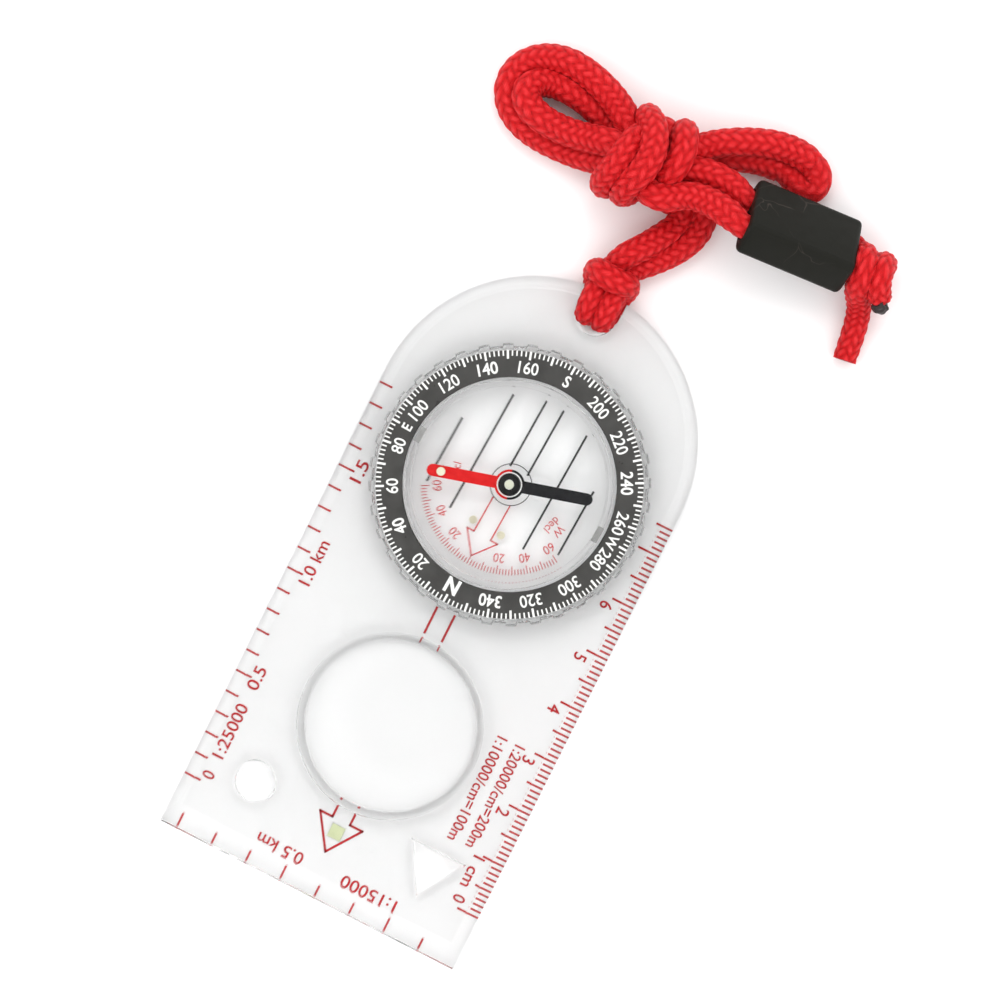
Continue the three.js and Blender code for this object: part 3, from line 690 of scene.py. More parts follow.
def braid_relief(along, around):
    """How far the surface of the braid stands out, from 0 to 1, and which way the top yarn leans.
    Each yarn passes over two of the other kind and under the next two, so stitches stand in columns."""
    first = BRAID_YARNS * (around + along / BRAID_PITCH)
    second = BRAID_YARNS * (around - along / BRAID_PITCH)
    heights = []
    for yarn, other, top in ((first, second, 1), (second, first, 3)):
        crimp = np.cos(np.pi / 2 * (np.floor(yarn) + other - top))
        across = 2 * (yarn - np.floor(yarn)) - 1
        heights.append(0.55 * np.sqrt(np.clip(1 - across**2, 0, 1)) + 0.45 * crimp)
    top = np.maximum(*heights)
    return np.clip(top, 0, 1), np.where(heights[0] > heights[1], 1.0, 0.0)


def frames_along(line):
    """Unit normals and binormals of the line that turn as little as they can."""
    tangents = np.gradient(line, axis=0)
    tangents /= np.linalg.norm(tangents, axis=1)[:, None]
    normal = np.cross(tangents[0], (0.3, 0.2, 1.0))
    normals = []
    for tangent in tangents:
        normal = normal - tangent * (normal @ tangent)
        normal /= np.linalg.norm(normal)
        normals.append(normal)
    return np.array(normals), np.cross(tangents, normals)


def pressed(ring, centre, others):
    """A ring's points, flattened where another strand's centre line is close."""
    for other in others:
        away = other - centre
        distance = np.linalg.norm(away)
        away /= distance
        over = (ring - centre) @ away - distance / 2
        ring = ring - np.clip(over, 0, None)[:, None] * away
    return ring


def clear_of_plate(points, stretch):
    """The cord's surface, kept out of the plate's rim, the lanyard hole's wall and the floor."""
    x, y, z = points.T
    hitch = (stretch > HITCH_STRETCHES[0]) & (stretch < HITCH_STRETCHES[1])
    over_plate = (y > -PLATE_LENGTH / 2 + 0.3) & hitch
    in_hole = np.hypot(x, y - HOLE_Y) < HOLE_RADIUS
    under = over_plate & ~in_hole & (z < CHANNEL_TOP + 0.9)
    z = np.where(under, np.minimum(z, CHANNEL_TOP - 0.05), z)
    over = over_plate & ~in_hole & ~under
    z = np.where(over, np.maximum(z, PLATE_HEIGHT + 0.05), z)
    x = np.where(under, np.clip(x, -CHANNEL_HALF + 0.05, CHANNEL_HALF - 0.05), x)
    return np.stack([x, y, np.maximum(z, 0.03)], 1)


def clear_of_slider(ring, centre):
    """Inside the slider the cord fills its hole and no more."""
    axis, width = (np.array(v) for v in slider_axes())
    offset = centre - np.array(SLIDER_CENTRE)
    if abs(offset @ axis) > SLIDER_LENGTH / 2 + 0.3 or np.linalg.norm(offset) > SLIDER_LENGTH / 2 + 4:
        return ring
    spokes = ring - centre
    spokes = spokes - np.outer(spokes @ axis, axis)
    reach = np.linalg.norm(spokes, axis=1)
    limit = SLIDER_HOLE_RADIUS - 0.06
    return ring - spokes * np.clip(1 - limit / np.maximum(reach, 1e-6), 0, 1)[:, None]


def lanyard_line():
    """The settled centre line, with the cord's radius and the stretch at each of its points."""
    points, hold, radius, stretch = [], [], [], []
    for number, (firmness, thickness, stops) in enumerate(LANYARD):
        points += stops
        hold += [firmness] * len(stops)
        radius += [thickness * CORD_RADIUS] * len(stops)
        stretch += [number + i / len(stops) for i in range(len(stops))]
    line, where = spline(points, CENTRE_STEP)
    order = np.arange(len(points))
    values = [np.interp(where, order, column) for column in (hold, radius, stretch)]
    line = settled(line, values[0], values[1])
    return line, values[1], values[2]


def tube_piece(name, line, radius, stretch, along, others, material):
    """A braided tube along the line.
    Others holds the whole lanyard's centre points, and how far along it each one is."""
    normals, binormals = frames_along(line)
    turn = np.arange(SEGMENTS) / SEGMENTS
    drift = along + 0.3 * np.sin(along / 2.7) + 0.14 * np.sin(along / 1.1)
    twist = 0.02 * np.sin(along / 3.1) + 0.01 * np.sin(along / 1.3 + 1)
    relief, lean = braid_relief(drift[:, None], turn[None] + twist[:, None])
    radius = radius * (1 + 0.025 * np.sin(along / 4.7))
    cos, sin = np.cos(2 * np.pi * turn), np.sin(2 * np.pi * turn)
    reach = radius[:, None] + RELIEF * (relief - 0.7)
    spokes = cos[None, :, None] * normals[:, None] + sin[None, :, None] * binormals[:, None]
    points = line[:, None] + reach[:, :, None] * spokes
    other_points, other_along = others
    for i, centre in enumerate(line):
        gap = np.linalg.norm(other_points - centre, axis=1)
        near = (gap < 2 * CORD_RADIUS) & (np.abs(other_along - along[i]) > NEIGHBOUR_REACH)
        if near.any():
            points[i] = pressed(points[i], centre, other_points[near])
        points[i] = clear_of_slider(points[i], centre)
    flat = clear_of_plate(points.reshape(-1, 3), np.repeat(stretch, SEGMENTS))
    return tube_object(name, flat, (drift, twist, turn), relief, lean, line, material)


def tube_object(name, flat, braid, relief, lean, line, material):
    """The tube's mesh, closed at both ends.
    Braid holds how far the braid has run and turned at each ring, and the turn of each side."""
    along, twist, turn = braid
    rings = len(line)
    first = np.arange(rings - 1)[:, None] * SEGMENTS
    here = np.arange(SEGMENTS)[None]
    after = (here + 1) % SEGMENTS
    next_ring = first + SEGMENTS
    quads = np.stack([first + here, first + after, next_ring + after, next_ring + here], 2)
    faces = quads.reshape(-1, 4).tolist()
    start, end = len(flat), len(flat) + 1
    last = (rings - 1) * SEGMENTS
    faces += [[start, (i + 1) % SEGMENTS, i] for i in range(SEGMENTS)]
    faces += [[end, last + i, last + (i + 1) % SEGMENTS] for i in range(SEGMENTS)]
    points = np.vstack([flat, line[0], line[-1]])
    made = new_object(name, points, faces, material)
    made.data.shade_smooth()
    # braid_height is also read by the cord's material as painted shade, darkening the colour in the valleys
    # between stitches.
    for key, values in (("braid_height", relief), ("braid_lean", lean)):
        attribute = made.data.attributes.new(key, "FLOAT", "POINT")
        attribute.data.foreach_set("value", np.append(values.ravel(), (0, 0)).astype(np.float32))
    corners = np.zeros((len(made.data.loops), 2), np.float32)
    side = np.stack([turn, turn + 1 / SEGMENTS, turn + 1 / SEGMENTS, turn], 1)
    shift = np.stack([twist[:-1], twist[:-1], twist[1:], twist[1:]], 1)
    v = side[None] + shift[:, None]
    body = (rings - 1) * SEGMENTS * 4
    u = np.stack([along[:-1], along[:-1], along[1:], along[1:]], 1)
    corners[:body, 0] = np.repeat(u, SEGMENTS, axis=0).ravel()
    corners[:body, 1] = v.ravel()
    layer = made.data.uv_layers.new(name="braid")
    layer.data.foreach_set("uv", corners.ravel())
    return made


def add_lanyard():
    """Makes the lanyard's two halves, and yields each with its centre line."""
    line, radius, stretch = lanyard_line()
    fine, where = evenly(line, np.arange(len(line), dtype=float), 1 / RINGS_PER_MM)
    fine = smoothed(fine)
    along = np.arange(len(fine)) / RINGS_PER_MM
    radius = np.interp(where, np.arange(len(line)), radius)
    stretch = np.interp(where, np.arange(len(line)), stretch)
    coarse = (fine[::4], along[::4])
    half = int(np.argmin(np.abs(stretch - MEETING)))
    cord = braided_cord()
    halves = (("lanyard_short_half", slice(0, half + 1)), ("lanyard_tail_half", slice(half, None)))
    for name, part in halves:
        made = tube_piece(name, fine[part], radius[part], stretch[part], along[part], coarse, cord)
        yield made, fine[part]


def smoothed(line, rounds=14):
    line = line.copy()
    for _ in range(rounds):
        line[1:-1] += 0.5 * ((line[:-2] + line[2:]) / 2 - line[1:-1])
    return line


# ---- clear pieces ----
def plate_outline(side, front):
    """The plate's outline, drawn in by side along its sides and round end, and by front at its front."""
    half = PLATE_WIDTH / 2 - side
    ends = PLATE_LENGTH / 2 - front
    steps = 120
    arc = [math.pi + math.pi * i / steps for i in range(steps + 1)]
    return [(half, ends), (-half, ends)] + [(half * math.cos(a), END_Y + half * math.sin(a)) for a in arc]


def add_baseplate(material, edge_material):
    """The bevelled plate with its holes, seat, channel and pocket cut; steep faces get the edge material."""
    rise = PLATE_HEIGHT - RIM_HEIGHT
    eased_bevel = (  # shares of the bevel's width and rise, past its ends where it is eased
        (0, -0.16), (0.02, -0.03), (0.08, 0.05), (0.88, 0.87), (0.98, 0.96), (1.08, 0.995), (1.2, 1),
    )
    levels = [
        (plate_outline(FOOT_CHAMFER, FOOT_CHAMFER), 0),
        (plate_outline(0, 0), FOOT_CHAMFER),
        *((plate_outline(SIDE_BEVEL * i, FRONT_BEVEL * i), RIM_HEIGHT + rise * z) for i, z in eased_bevel),
    ]
    over = 1  # cutters reach this far past the plate
    edge = 0.12  # mouths of the holes are eased
    top = PLATE_HEIGHT
    dial = turned_mesh([
        (0, -over), (DIAL_RECESS_RADIUS, -over), (DIAL_RECESS_RADIUS, DIAL_RECESS_TOP),
        (DIAL_HOLE_RADIUS, DIAL_RECESS_TOP), (DIAL_HOLE_RADIUS, top - edge),
        (DIAL_HOLE_RADIUS + edge + over, top + over), (0, top + over),
    ])
    bore = LENS_RADIUS + 0.2
    lens = turned_mesh([
        (0, -over), (bore, -over), (bore, LENS_LEDGE_Z), (LENS_SEAT_RADIUS, LENS_LEDGE_Z),
        (LENS_SEAT_RADIUS, top - edge), (LENS_SEAT_RADIUS + edge + over, top + over), (0, top + over),
    ])

    def drilled(radius, chamfer):
        mouth = radius + chamfer + over
        return turned_mesh([
            (0, -over), (mouth, -over), (radius, chamfer), (radius, top - chamfer), (mouth, top + over),
            (0, top + over),
        ], 96)

    x, y, radius = CIRCLE_TEMPLATE
    mouth = TEMPLATE_MOUTH
    circle, circle_faces = drilled(radius, mouth)
    lanyard, lanyard_faces = drilled(HOLE_RADIUS, LANYARD_HOLE_MOUTH)
    tx, ty, corner = TRIANGLE_TEMPLATE
    turns = [math.radians(a) for a in (90, 210, 330)]

    def triangle(grow):
        reach = corner + 2 * grow
        return [(tx + reach * math.cos(a), ty + reach * math.sin(a)) for a in turns]

    half, end = CHANNEL_HALF, -PLATE_LENGTH / 2 - over
    channel = [(-half, end), (half, end), (half, HOLE_Y), (-half, HOLE_Y)]
    ix, iy, side, height = INLAY
    pocket = [(ix + sx * side / 2, iy + sy * side / 2) for sx, sy in ((-1, -1), (1, -1), (1, 1), (-1, 1))]
    cutters = [
        (moved(dial[0], 0, DIAL_Y), dial[1]),
        (moved(lens[0], 0, LENS_Y), lens[1]),
        (moved(circle, x, y), circle_faces),
        (moved(lanyard, 0, HOLE_Y), lanyard_faces),
        stacked_mesh([
            (triangle(mouth + over), -over), (triangle(0), mouth),
            (triangle(0), top - mouth), (triangle(mouth + over), top + over),
        ]),
        stacked_mesh([(channel, -over), (channel, CHANNEL_TOP)]),
        stacked_mesh([(pocket, -over), (pocket, height)]),
    ]
    made = carved("plate_body", stacked_mesh(levels), cutters)
    dress(made, material, edge_material)
    for face in made.data.polygons:
        face.material_index = 0 if abs(face.normal.z) > LEVEL_NORMAL else 1
    smooth(made, 20)
    settle(made, "plate", ("baseplate",))


def add_turned(name, profile, material, node):
    """A piece of the dial turned about the dial's axis."""
    points, faces = turned_mesh(eased(profile), TURNED_STEPS)
    made = new_object(name, to_dial(points), faces, material)
    smooth(made, 25)
    settle(made, "dial", (node,))


def add_lens(material):
    """A flat-backed lens with a crowned top, on a flange that sits on the plate's ledge."""
    flange = LENS_SEAT_RADIUS - 0.1
    ledge = LENS_LEDGE_Z + 0.1
    crown = (LENS_RADIUS**2 + LENS_RISE**2) / (2 * LENS_RISE)
    profile = [(0, 0.4), (LENS_RADIUS, 0.4), (LENS_RADIUS, ledge), (flange, ledge), (flange, PLATE_HEIGHT)]
    rings = 24
    for i in range(rings, -1, -1):
        radius = LENS_RADIUS * i / rings
        drop = crown - math.sqrt(crown**2 - radius**2)
        profile.append((radius, PLATE_HEIGHT + LENS_RISE - drop))
    points, faces = turned_mesh(profile, TURNED_STEPS)
    made = new_object("lens_body", moved(points, 0, LENS_Y), faces, material)
    smooth(made, 25)
    settle(made, "plate", ("magnifier_lens",))


def add_capsule(material):
    """The cup, with the groove that takes the retaining ring, and the lid with the plug that fits it."""
    lip = 0.1
    shoulder = BEZEL_BOTTOM - 0.05
    groove = (0.3, 1.1)  # heights of the groove's two sides
    cup = [
        (0, lip), (SPIGOT_RADIUS - 0.2, lip), (SPIGOT_RADIUS - 0.2, groove[0]), (GROOVE_RADIUS, groove[0]),
        (GROOVE_RADIUS, groove[1]), (SPIGOT_RADIUS, groove[1]), (SPIGOT_RADIUS, shoulder),
        (CAPSULE_RADIUS, shoulder), (CAPSULE_RADIUS, WALL_TOP), (CAPSULE_INNER_RADIUS, WALL_TOP),
        (CAPSULE_INNER_RADIUS, FLOOR_TOP), (BOSS_RADIUS, FLOOR_TOP), (BOSS_RADIUS, BOSS_TOP), (0, BOSS_TOP),
    ]
    add_turned("capsule_cup", cup, material, "capsule_base")
    edge = 0.5
    bottom = WALL_TOP + 0.05
    spigot = CAPSULE_INNER_RADIUS - 0.1
    foot = bottom - 0.45
    lid = [
        (0, foot), (spigot, foot), (spigot, bottom), (CAPSULE_RADIUS, bottom),
        (CAPSULE_RADIUS, CAPSULE_TOP - edge), (CAPSULE_RADIUS - edge * 0.3, CAPSULE_TOP - edge * 0.3),
        (CAPSULE_RADIUS - edge, CAPSULE_TOP), (0, CAPSULE_TOP),
    ]
    add_turned("capsule_cover", lid, material, "capsule_lid")


def bezel_outline(grow):
    """The toothed rim, drawn outwards by grow: each tooth is a raised land with sloping ends."""
    outline = []
    pitch = 2 * math.pi / TOOTH_COUNT
    flats = ((-0.25, 0), (-0.19, TOOTH_HEIGHT), (0.19, TOOTH_HEIGHT), (0.25, 0))
    for tooth in range(TOOTH_COUNT):
        for (turn, height), (end, _) in zip(flats, (*flats[1:], (0.75, 0))):
            steps = 2 if height == 0 and turn < 0 else 5
            spread = end - turn
            after = TOOTH_HEIGHT if turn == -0.25 else (0 if turn == 0.19 else height)
            for step in range(steps):
                share = step / steps
                angle = (tooth + turn + spread * share) * pitch
                radius = BEZEL_RADIUS + grow + height + (after - height) * share
                outline.append((radius * math.cos(angle), radius * math.sin(angle)))
    return outline


def add_bezel(material):
    foot, slope = 0.25, 0.42  # widths of the bevels below and above the teeth
    levels = [
        (bezel_outline(-foot), BEZEL_BOTTOM), (bezel_outline(0), BEZEL_BOTTOM + foot),
        (bezel_outline(0), BEZEL_TOP - slope * 1.6), (bezel_outline(-slope), BEZEL_TOP),
    ]
    inner = CAPSULE_RADIUS + 0.1
    over = 1
    bore = turned_mesh([
        (0, BEZEL_BOTTOM - over), (inner, BEZEL_BOTTOM - over), (inner, BEZEL_SHELF),
        (BEZEL_RIM_RADIUS, BEZEL_SHELF), (BEZEL_RIM_RADIUS, BEZEL_TOP + over), (0, BEZEL_TOP + over),
    ], TURNED_STEPS)
    made = carved("bezel_body", stacked_mesh(levels), [bore])
    places = to_dial([vertex.co / MM for vertex in made.data.vertices])
    for vertex, place in zip(made.data.vertices, places):
        vertex.co = Vector(place) * MM
    dress(made, material)
    smooth(made, 20)
    settle(made, "dial", ("bezel_ring",))


def add_degree_ring(material):
    inner, outer = CAPSULE_RADIUS + 0.5, BEZEL_RADIUS - 0.8
    bottom = BEZEL_SHELF + 0.05
    profile = [(inner, bottom), (outer, bottom), (outer, DEGREE_RING_TOP), (inner, DEGREE_RING_TOP)]
    add_turned("degree_band", profile, material, "degree_ring")


# ---- printed marks ----
STROKE = 0.4
TICK_STROKE = 0.36
FIGURE_HEIGHT = 2.1
FONT_HEIGHT = 0.0  # height of a figure in the built-in font at size 1, measured when first needed


class Ink:
    """Flat marks gathered into one thin printed layer between the heights bottom and top."""

    def __init__(self, bottom, top):
        self.heights = (bottom, top)
        self.points, self.faces = [], []

    def solid(self, outline):
        count, start = len(outline), len(self.points)
        for z in self.heights:
            self.points += [(x, y, z) for x, y in outline]
        self.faces.append([start + i for i in range(count)][::-1])
        self.faces.append([start + count + i for i in range(count)])
        for i in range(count):
            after = (i + 1) % count
            self.faces.append([start + i, start + after, start + count + after, start + count + i])

    def line(self, start, end, width=STROKE):
        a, b = Vector(start), Vector(end)
        along = (b - a).normalized() * width / 2
        side = Vector((-along.y, along.x))
        corners = (a - along - side, b + along - side, b + along + side, a - along + side)
        self.solid([tuple(corner) for corner in corners])

    def path(self, points, width=STROKE):
        for start, end in zip(points, points[1:]):
            self.line(start, end, width)

    def ring(self, centre, radius, width=STROKE, steps=96):
        for step in range(steps):
            start, end = (2 * math.pi * (step + i) / steps for i in (0, 1))
            inner, outer = radius - width / 2, radius + width / 2
            corners = ((inner, start), (outer, start), (outer, end), (inner, end))
            self.solid([(centre[0] + r * math.cos(a), centre[1] + r * math.sin(a)) for r, a in corners])

    def dot(self, centre, radius, steps=24):
        turns = [2 * math.pi * step / steps for step in range(steps)]
        self.solid([(centre[0] + radius * math.cos(a), centre[1] + radius * math.sin(a)) for a in turns])

    def text(self, words, centre, turn, height, length=None, weight=0.009):
        """Words centred at a point, running along the direction turn, with figures of that height.
        The font's 4 closes up when it is made bolder, so words with a 4 are struck four times instead,
        each a little to one side and a little higher."""
        twice = "4" in words and weight > 0
        points, faces = glyphs(words, 0 if twice else weight)
        xs = [p[0] for p in points]
        middle, run = (max(xs) + min(xs)) / 2, max(xs) - min(xs)
        tall = height / font_height()
        wide = length / run if length else tall * 0.92
        c, s = math.cos(turn), math.sin(turn)
        bold = weight * tall * 1.4
        strikes = ((-bold, -bold), (bold, -bold), (bold, bold), (-bold, bold)) if twice else ((0, 0),)
        for strike, (over, up) in enumerate(strikes):
            start = len(self.points)
            for x, y, z in points:
                px, py = (x - middle) * wide + over, (y - font_height() / 2) * tall + up
                place = (self.heights[1] if z > 0 else self.heights[0]) + 0.003 * strike
                self.points.append((centre[0] + px * c - py * s, centre[1] + px * s + py * c, place))
            self.faces += [[start + i for i in face] for face in faces]

    def finish(self, name, material, body, dial=False):
        points = to_dial(self.points) if dial else self.points
        made = new_object(name, points, self.faces, material)
        return settle(made, body)


def glyphs(words, weight):
    """The words in the built-in font as a thin solid mesh, at size 1."""
    curve = bpy.data.curves.new("words", "FONT")
    curve.body = words
    curve.extrude = 0.1
    curve.offset = weight
    curve.resolution_u = 4
    holder = bpy.data.objects.new("words", curve)
    bpy.context.scene.collection.objects.link(holder)
    bpy.context.view_layer.update()
    mesh = holder.evaluated_get(bpy.context.evaluated_depsgraph_get()).to_mesh()
    points = [tuple(v.co) for v in mesh.vertices]
    faces = [list(p.vertices) for p in mesh.polygons]
    bpy.data.objects.remove(holder)
    bpy.data.curves.remove(curve)
    return points, faces


def font_height():
    global FONT_HEIGHT
    if not FONT_HEIGHT:
        ys = [p[1] for p in glyphs("1", 0.0)[0]]
        FONT_HEIGHT = max(ys) - min(ys)
    return FONT_HEIGHT


def centimetre_scale(mark):
    """Millimetre ticks up the left edge, their figures, and the two map scales read off them."""
    edge, zero, ticks = -28.0, 48.45, 76
    figures, up = -24.0, math.pi / 2
    for tick in range(ticks):
        inner = -24.6 if tick % 10 == 0 else (-25.6 if tick % 5 == 0 else -26.3)
        mark.line((edge, zero - tick), (inner, zero - tick), TICK_STROKE)
    mark.text("0", (figures, 46.9), up, FIGURE_HEIGHT)
    mark.text("1 cm", (figures, 41.7), up, FIGURE_HEIGHT, 5.7)
    for figure in range(2, 7):
        mark.text(str(figure), (figures, 50.05 - 10 * figure), up, 2.2)
    mark.text("1:20000/cm=200m", (-21.7, 28.3), up, 1.9, 19.5)
    mark.text("1:10000/cm=100m", (-18.3, 28.45), up, 1.9, 19.8)


def right_scale(mark):
    """The 1:25000 scale down the right edge, with a tick for each 0.1 km."""
    edge, zero, pitch = 27.9, 48.95, 4
    figures, down = 24.6, -math.pi / 2
    for tick in range(20):
        inner = 25.6 if tick % 5 == 0 else 26.2
        mark.line((inner, zero - pitch * tick), (edge, zero - pitch * tick), TICK_STROKE)
    labels = (
        ("0", 47.5, None), ("1:25000", 38.95, 10.2), ("0.5", 28.7, 4.2), ("1.0 km", 6.2, 8.3),
        ("1.5", -11.5, 3.9),
    )
    for words, y, length in labels:
        mark.text(words, (figures, y), down, FIGURE_HEIGHT, length)


def front_scale(mark):
    """The 1:15000 scale along the front edge, with a tick for each 0.1 km."""
    edge, first, pitch = 57.7, -21.5, 6.72
    figures = 53.3
    for tick in range(8):
        x = first + pitch * tick
        inner = 55.4 if tick % 3 == 1 else 55.9
        mark.line((x, inner), (x, edge), TICK_STROKE)
    mark.text("1:15000", (-9.55, figures), 0, FIGURE_HEIGHT, 10.5)
    mark.text("0.5 km", (7.7, figures), 0, FIGURE_HEIGHT, 8.8)


def travel_arrow(mark):
    """The direction-of-travel arrow ahead of the lens, and its shaft's two lines behind it."""
    apex, base, foot = 50.15, 44.15, 42.05
    left, right = -1.4, 2.0
    mark.path([
        (left, foot), (left, base), (-3.8, base), (0.4, apex), (4.4, base), (right, base), (right, foot),
    ])
    for x in (left, right):
        mark.dot((x, 40.6), 0.25)
        mark.line((x, 8.35), (x, 3.55))
        mark.line((x, 10.25), (x, 9.35), 0.25)


def add_plate_print(red):
    """The scales along three edges and the direction-of-travel marks, on the plate's underside."""
    mark = Ink(-0.03, 0.02)
    for draw in (centimetre_scale, right_scale, front_scale, travel_arrow):
        draw(mark)
    mark.finish("plate_print", red, "plate")


def round_dial(radius, angle):
    """The point at that radius and that angle clockwise from north."""
    return radius * math.sin(angle), radius * math.cos(angle)


def add_degree_print(white):
    """White figures every 20 degrees and ticks every 2, clockwise from north."""
    mark = Ink(DEGREE_RING_TOP - 0.02, DEGREE_RING_TOP + 0.03)
    outer, short, long = 22.95, 22.25, 21.8
    for tick in range(180):
        angle = math.radians(2 * tick)
        inner = long if tick % 5 == 0 else short
        way = Vector((math.sin(angle), math.cos(angle)))
        mark.line(tuple(way * inner), tuple(way * outer), 0.25 if tick % 5 else 0.38)
    letters = {0: ("N", 2.5, 0.04), 90: ("E", 1.7, 0.02), 180: ("S", 1.9, 0.02), 270: ("W", 1.7, 0.02)}
    words = {degree: (str(degree), 2.0, 0.012) for degree in range(20, 360, 20) if degree % 180}
    for degree, (label, height, weight) in {**words, **letters}.items():
        angle = math.radians(degree)
        radius = 20.0 if label == "N" else 20.2
        mark.text(label, round_dial(radius, angle), -angle, height, None, weight)
    mark.finish("degree_print", white, "dial", dial=True)


def add_floor_print(black, red):
    """North lines, the orienting arrow and the declination scale on the capsule's floor."""
    heights = (FLOOR_TOP - 0.02, FLOOR_TOP + 0.03)
    lines = Ink(*heights)
    # each pair of meridian lines: distance from the middle, and its two ends
    for x, top, foot in ((13.0, 6.4, -5.8), (7.25, 8.5, -13.6), (1.7, -2.9, -15.4)):
        for side in (-1, 1):
            lines.line((side * x, top), (side * x, foot), 0.36)
    lines.ring((0, 0), BOSS_RADIUS + 0.3, 0.15)
    lines.finish("north_lines", black, "dial", dial=True)

    mark = Ink(*heights)
    apex, base, foot, half, shaft = 14.0, 10.1, 3.4, 3.0, 1.65
    left = [(-shaft, foot), (-shaft, base), (-half, base)]
    mark.path([*left, (0, apex), *((-x, y) for x, y in reversed(left))], 0.24)
    for tick in range(-30, 31):
        angle = math.radians(2 * tick)
        way = Vector((math.sin(angle), math.cos(angle)))
        inner = 14.2 if tick % 5 == 0 else 14.7
        mark.line(tuple(way * inner), tuple(way * 15.5), 0.15)
    for degree in (20, 40, 60):
        for side in (-1, 1):
            angle = side * math.radians(degree)
            mark.text(str(degree), round_dial(12.8, angle), -angle, 1.5, None, 0)
    for side, letter in ((-1, "W"), (1, "E")):
        for words, radius in ((letter, 11.5), ("decl", 9.9)):
            angle = side * math.radians(75)
            mark.text(words, round_dial(radius, angle), -angle, 1.4, None, 0)
    mark.finish("declination_print", red, "dial", dial=True)


def add_eye_ring(white):
    """The thin white line round the needle's eye."""
    mark = Ink(NEEDLE_TOP - 0.02, NEEDLE_TOP + 0.04)
    mark.ring((0, DIAL_Y), 2.08, 0.22)
    mark.finish("eye_ring", white, "needle")


# ---- small pieces kept from the CAD ----
def finish_node(node, material, bevel=0.06, angle=30):
    """Gives a CAD piece its material, eased edges and smooth shading, without touching its mesh."""
    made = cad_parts[node]
    dress(made, material)
    if bevel:
        edge = made.modifiers.new("eased", "BEVEL")
        edge.width = bevel * MM
        edge.segments = 2
        edge.limit_method = "ANGLE"
        edge.angle_limit = math.radians(angle)
    shade = made.modifiers.new("smooth", "NODES")
    shade.node_group = smooth_by_angle(angle)


def smooth_by_angle(angle):
    """A geometry node group that shades faces smooth and keeps edges over the angle sharp."""
    name = f"smooth_by_{angle}"
    if name in bpy.data.node_groups:
        return bpy.data.node_groups[name]
    group = bpy.data.node_groups.new(name, "GeometryNodeTree")
    group.interface.new_socket("Geometry", in_out="INPUT", socket_type="NodeSocketGeometry")
    group.interface.new_socket("Geometry", in_out="OUTPUT", socket_type="NodeSocketGeometry")
    start, end = group.nodes.new("NodeGroupInput"), group.nodes.new("NodeGroupOutput")
    faces = group.nodes.new("GeometryNodeSetShadeSmooth")
    faces.domain = "FACE"
    edges = group.nodes.new("GeometryNodeSetShadeSmooth")
    edges.domain = "EDGE"
    edges.inputs["Shade Smooth"].default_value = False
    between = group.nodes.new("GeometryNodeInputMeshEdgeAngle")
    over = group.nodes.new("FunctionNodeCompare")
    over.operation = "GREATER_THAN"
    over.inputs["B"].default_value = math.radians(angle)
    group.links.new(start.outputs[0], faces.inputs["Geometry"])
    group.links.new(faces.outputs[0], edges.inputs["Geometry"])
    group.links.new(between.outputs["Unsigned Angle"], over.inputs["A"])
    group.links.new(over.outputs[0], edges.inputs["Selection"])
    group.links.new(edges.outputs[0], end.inputs[0])
    return group


# ---- cord slider ----
def add_slider(material):
    """A long block with rounded edges and two holes side by side."""
    holes = []
    ends = SLIDER_LENGTH / 2
    chamfer = 0.35

    def outline(inset):
        made = []
        r = SLIDER_CORNER - inset * 0.6
        for quarter, (sx, sy) in enumerate(((1, 1), (-1, 1), (-1, -1), (1, -1))):
            cx = sx * (SLIDER_WIDTH / 2 - inset - r)
            cy = sy * (SLIDER_THICKNESS / 2 - inset - r)
            for step in range(9):
                angle = math.pi / 2 * (quarter + step / 8)
                made.append((cx + r * math.cos(angle), cy + r * math.sin(angle)))
        return made

    levels = []
    for step in range(7):
        turn = math.pi / 2 * step / 6
        inset, rise = SLIDER_EASE * (1 - math.sin(turn)), SLIDER_EASE * (1 - math.cos(turn))
        levels.append((outline(inset), -ends + rise))
    levels += [(line, -z) for line, z in reversed(levels)]
    for side in (-1, 1):
        mouth = SLIDER_HOLE_RADIUS + chamfer + 1
        points, faces = turned_mesh([
            (0, -ends - 1), (mouth, -ends - 1), (SLIDER_HOLE_RADIUS, -ends + chamfer),
            (SLIDER_HOLE_RADIUS, ends - chamfer), (mouth, ends + 1), (0, ends + 1),
        ], 64)
        holes.append((moved(points, side * SLIDER_HOLE_OFFSET, 0), faces))
    made = carved("slider_block", stacked_mesh(levels), holes)
    axis, across = slider_axes()
    thick = axis.cross(across)
    turn = Matrix((across, thick, axis)).transposed().to_4x4()
    made.data.transform(Matrix.Translation(SLIDER_CENTRE * MM) @ turn)
    dress(made, material)
    smooth(made, 35)
    return settle(made, "slider", ("cord_slider",))


def add_melted_end(material):
    """The fused, blackened tip of the short end: a lumpy bead."""
    mesh = bpy.data.meshes.new("melted_tip")
    ball = bmesh.new()
    bmesh.ops.create_icosphere(ball, subdivisions=4, radius=1.0)
    for vertex in ball.verts:
        x, y, z = vertex.co
        lump = 1 + 0.1 * math.sin(5 * x + 2 * z) + 0.07 * math.sin(7 * y - 3 * x)
        lump += 0.05 * math.sin(11 * z + 4 * y)
        vertex.co = Vector((1.45 * x, 1.3 * y, 1.5 * z)) * lump * MM
    ball.to_mesh(mesh)
    ball.free()
    mesh.transform(Matrix.Translation(MELTED_END * MM))
    mesh.materials.append(material)
    mesh.shade_smooth()
    made = bpy.data.objects.new("melted_tip", mesh)
    bpy.context.scene.collection.objects.link(made)
    return settle(made, "plate", ("lanyard_melted_end",))


add_camera()
add_world()
add_light("key", (0.12, -0.55, 0.8), 0.4, 1.0)
add_light("fill", (-0.5, 0.35, 0.7), 0.9, 0.2)
add_floor()
bpy.context.scene.view_settings.view_transform = "Standard"

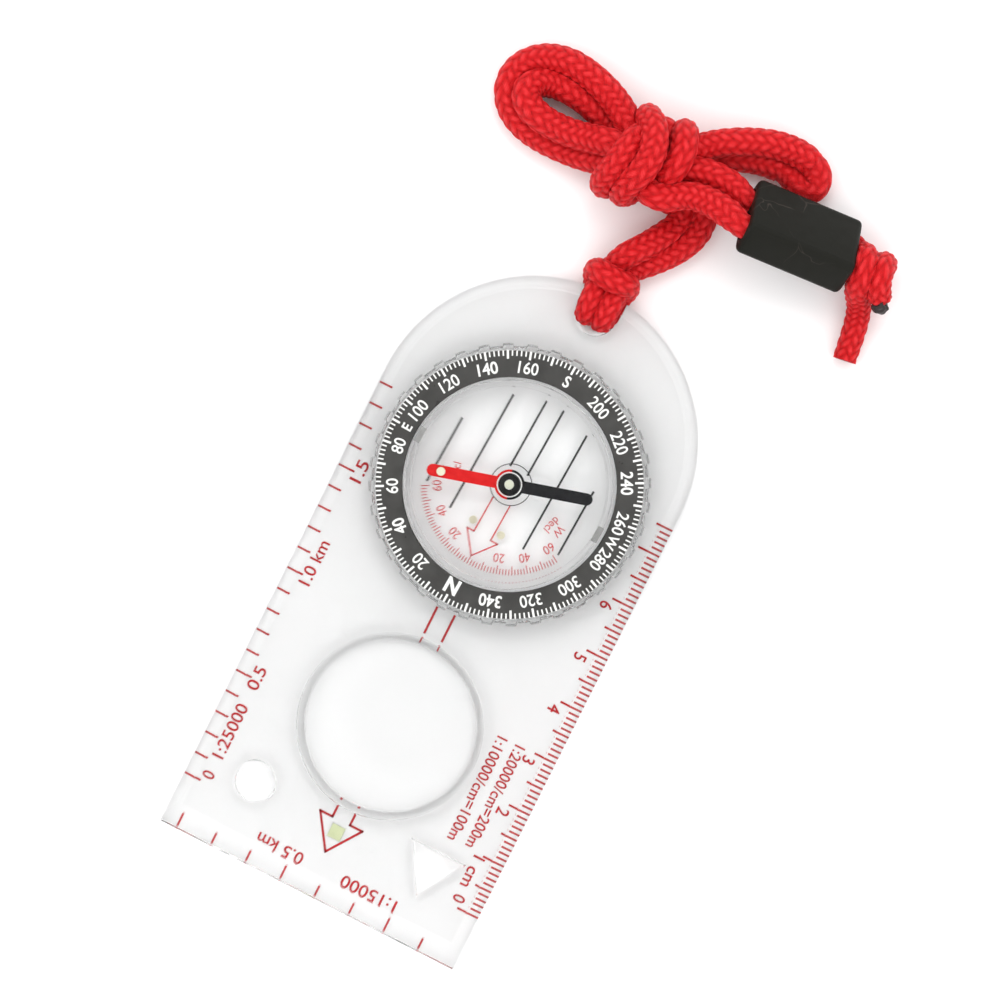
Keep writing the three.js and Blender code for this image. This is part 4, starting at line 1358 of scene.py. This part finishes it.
slider = add_slider(slider_plastic())
melted = add_melted_end(moulded("melted_cord", (0.03, 0.018, 0.018), (0.008, 0.006, 0.006), 0.35, 0.5, 0.06))
(first_half, first_line), (second_half, second_line) = add_lanyard()
settle(first_half, "plate", (
    "lanyard_hitch", "lanyard_lead_right", "lanyard_centre_knot", "lanyard_bight", "slider_strand_upper",
    "lanyard_end_knot",
))
settle(second_half, "plate", (
    "lanyard_lead_left", "lanyard_loops", "slider_strand_lower", "lanyard_tail",
))

clear_plate = clear_plastic("clear_plate", 0.7)
add_baseplate(clear_plate, clear_plastic("clear_edge", 1.0))
add_lens(clear_plate)
add_capsule(clear_plastic("clear_capsule", 0.4, 1.2))
add_bezel(clear_plastic("clear_bezel", 1.0))
add_degree_ring(moulded("degree_black", (0.058, 0.057, 0.054), (0.044, 0.043, 0.041), 0.34, 0.3, 0.01))
red_ink = ink("red_ink", (0.56, 0.006, 0.012), (0.46, 0.005, 0.009))
white_ink = ink("white_ink", (0.86, 0.86, 0.84), (0.74, 0.74, 0.72))
black_ink = ink("black_ink", (0.012, 0.012, 0.012), (0.02, 0.02, 0.02))
add_plate_print(red_ink)
add_degree_print(white_ink)
add_floor_print(black_ink, red_ink)
add_eye_ring(white_ink)

steel = brushed_steel()
cream = moulded("luminous_cream", (0.74, 0.70, 0.54), (0.62, 0.59, 0.44), 0.55)
lime = moulded("luminous_lime", (0.74, 0.80, 0.50), (0.66, 0.72, 0.42), 0.55)
finish_node("retaining_ring", steel)
finish_node("pivot_pin", steel, 0.03)
finish_node("needle_bar", needle_paint(), 0.08)
hub_black = moulded("hub_black", (0.012, 0.012, 0.012), (0.006, 0.006, 0.006), 0.3)
finish_node("needle_hub", hub_black)
finish_node("jewel_bearing", moulded("jewel", (0.60, 0.62, 0.50), (0.48, 0.50, 0.40), 0.15))
for node in ("needle_dot", "orienting_dot_left", "orienting_dot_right"):
    finish_node(node, cream, 0.03)
finish_node("travel_arrow_inlay", lime, 0.03)
rubber = moulded("plug_rubber", (0.34, 0.34, 0.33), (0.24, 0.24, 0.235), 0.65)
for node in ("fill_plug", "vent_plug"):
    finish_node(node, rubber, 0.1)
